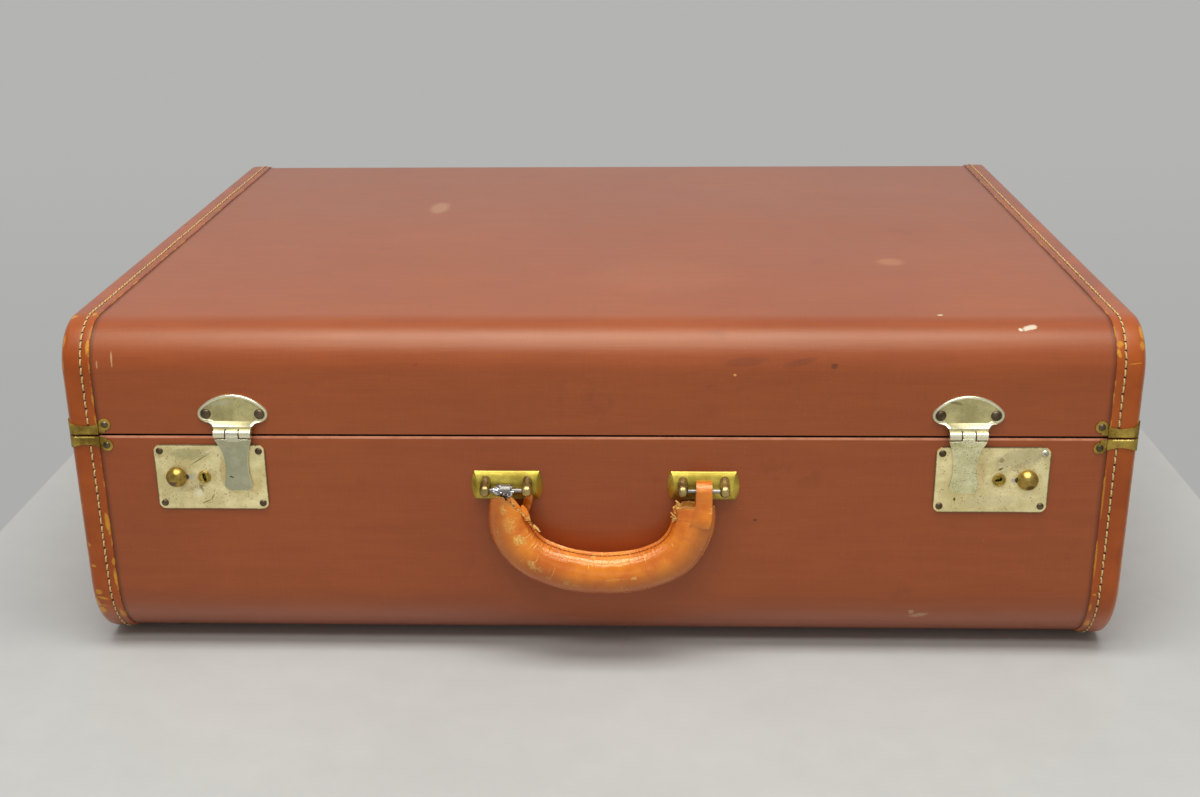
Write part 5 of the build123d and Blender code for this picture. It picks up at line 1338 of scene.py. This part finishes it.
# Inside: bare basswood boards with a closing lip, and a woven tan lining glued to them. The hinges'
# leaves are screwed on from outside.
wood = grained(
    "basswood", (60, 4, 0.6, (0.08, 1, 1)), (190, 152, 104), (160, 118, 74), (0.2, 0.5), (0.2, 0.0002)
)
remade(wood, "base_closing_lip", *[f"{half}_{n}" for half in HALVES for n in ("panel", "end_left", "end_right")])
lining_cloth, place = new_material("tan_lining")
linen = placed(linen_group, place, Threads_per_metre=2600.0)
shade = spread(linen["Tone"], 0.45, noise_of(place, 9, 4, 0.6))
colour = mixed(stepped(shade, 0.5, 1.2), (146, 116, 84), (180, 150, 114))
surfaced(lining_cloth, colour, spread(linen["Tone"], 0.2, 0.65), linen["Height"], 0.4, 0.0002)
for half in HALVES:
    dressed(f"{half}_lining", f"{half}_lining_cloth", 0.0006, lining_cloth, half)
    dressed(f"hinge_{half}_leaves", f"hinge_{half}_leaf_plates", 0.00025, lock_nickel, half)


# The pale table it lies on, with grey paper behind it, the soft lights over and before it, and the
# camera at the photograph's place.
TABLE_HALF_WIDE, TABLE_REAR, TABLE_EDGE = 0.47, 0.6, 0.002
TABLE_COLOUR, TABLE_DEEP = (198, 198, 193), (190, 190, 186)
BACKDROP_COLOUR, BACKDROP_LOW = (180, 180, 178), (173, 173, 171)
AMBIENT_COLOUR, AMBIENT_STRENGTH = (226, 226, 226), 0.42
SOFT_LIGHTS = (
    # name, place, aim, width, depth, power
    ("overhead", (0.0, -0.62, 1.95), (0, -0.1, 0.05), 1.7, 0.7, 28),
    ("key", (-0.1, -1.4, 1.75), (0, -0.25, 0.1), 1.4, 0.35, 10.5),
    ("fill", (0.2, -1.6, 0.45), (0, -0.3, 0.05), 1.2, 0.4, 0.8),
)


def seen_by_eye(tree):
    """1 for the rays that show the background: from the camera, and reflected or let through."""
    kinds = wire(tree, "ShaderNodeLightPath").outputs
    return larger(kinds["Is Camera Ray"], larger(kinds["Is Glossy Ray"], kinds["Is Transmission Ray"]))


def backed(tree, share, surface, output):
    """A surface or background, with what stands behind it mixed in by a share."""
    both = wire(tree, "ShaderNodeMixShader", _0=share)
    for source, socket in zip(surface, (1, 2)):
        tree.links.new(source.outputs[0], both.inputs[socket])
    tree.links.new(both.outputs[0], tree.nodes[output].inputs["Surface"])


pale_table, place = new_material("pale_table")
tree = pale_table.node_tree
tone = plus(times(noise_of(place, 3, 4, 0.6), 0.7), times(noise_of(place, 40, 4, 0.6), 0.3))
colour = mixed(stepped(tone, 0.3, 0.7), TABLE_DEEP, TABLE_COLOUR)
beside = stepped(math_of("ABSOLUTE", axis_of(place, "X")), TABLE_HALF_WIDE, TABLE_HALF_WIDE + TABLE_EDGE)
off_table = larger(beside, stepped(axis_of(place, "Y"), TABLE_REAR, TABLE_REAR + TABLE_EDGE))
paper = mixed(stepped(axis_of(place, "Y"), -0.1, 1.6), BACKDROP_LOW, BACKDROP_COLOUR)
glow = wire(tree, "ShaderNodeEmission", Color=paper, Strength=1.0)
join(colour, tree.nodes["Principled BSDF"].inputs["Base Color"])
join(spread(tone, 0.1, 0.6), tree.nodes["Principled BSDF"].inputs["Roughness"])
surfaces = (tree.nodes["Principled BSDF"], glow)
backed(tree, times(off_table, seen_by_eye(tree)), surfaces, "Material Output")
work = bmesh.new()
bmesh.ops.create_grid(work, x_segments=2, y_segments=2, size=6.0)
table = as_mesh(work)
table.materials.append(pale_table)
set_down("table_top", table)

world = bpy.data.worlds.new("studio")
bpy.context.scene.world = world
world.use_nodes = True
tree = world.node_tree
ambient = tree.nodes["Background"]
join(AMBIENT_COLOUR, ambient.inputs["Color"])
join(AMBIENT_STRENGTH, ambient.inputs["Strength"])
backdrop = wire(tree, "ShaderNodeBackground", Color=BACKDROP_COLOUR, Strength=1.0)
backed(tree, seen_by_eye(tree), (ambient, backdrop), "World Output")

for name, spot, aim, width, depth, power in SOFT_LIGHTS:
    lamp = bpy.data.lights.new(name, "AREA")
    lamp.shape, lamp.size, lamp.size_y, lamp.energy = "RECTANGLE", width, depth, power
    made = set_down(name, lamp)
    made.location = spot
    made.rotation_euler = (Vector(aim) - Vector(spot)).to_track_quat("-Z", "Y").to_euler()

CAMERA_PLACE = (0.03218, -1.12045, 0.49852)
CAMERA_PITCH, CAMERA_YAW, CAMERA_ROLL = 0.3535, -0.0353, -0.0101
FOCAL_PIXELS, PHOTO_WIDTH, SENSOR_WIDTH = 1514.04, 1200, 36.0
lens = bpy.data.cameras.new("photo_camera")
lens.sensor_width = SENSOR_WIDTH
lens.lens = FOCAL_PIXELS / PHOTO_WIDTH * SENSOR_WIDTH
camera = set_down("photo_camera", lens)
camera.matrix_world = Matrix.Translation(CAMERA_PLACE)
for a, axis in ((-CAMERA_YAW, "Z"), (pi / 2 - CAMERA_PITCH, "X"), (CAMERA_ROLL, "Z")):
    camera.matrix_world = camera.matrix_world @ Matrix.Rotation(a, 4, axis)
bpy.context.scene.camera = camera
bpy.context.scene.view_settings.view_transform = "Standard"
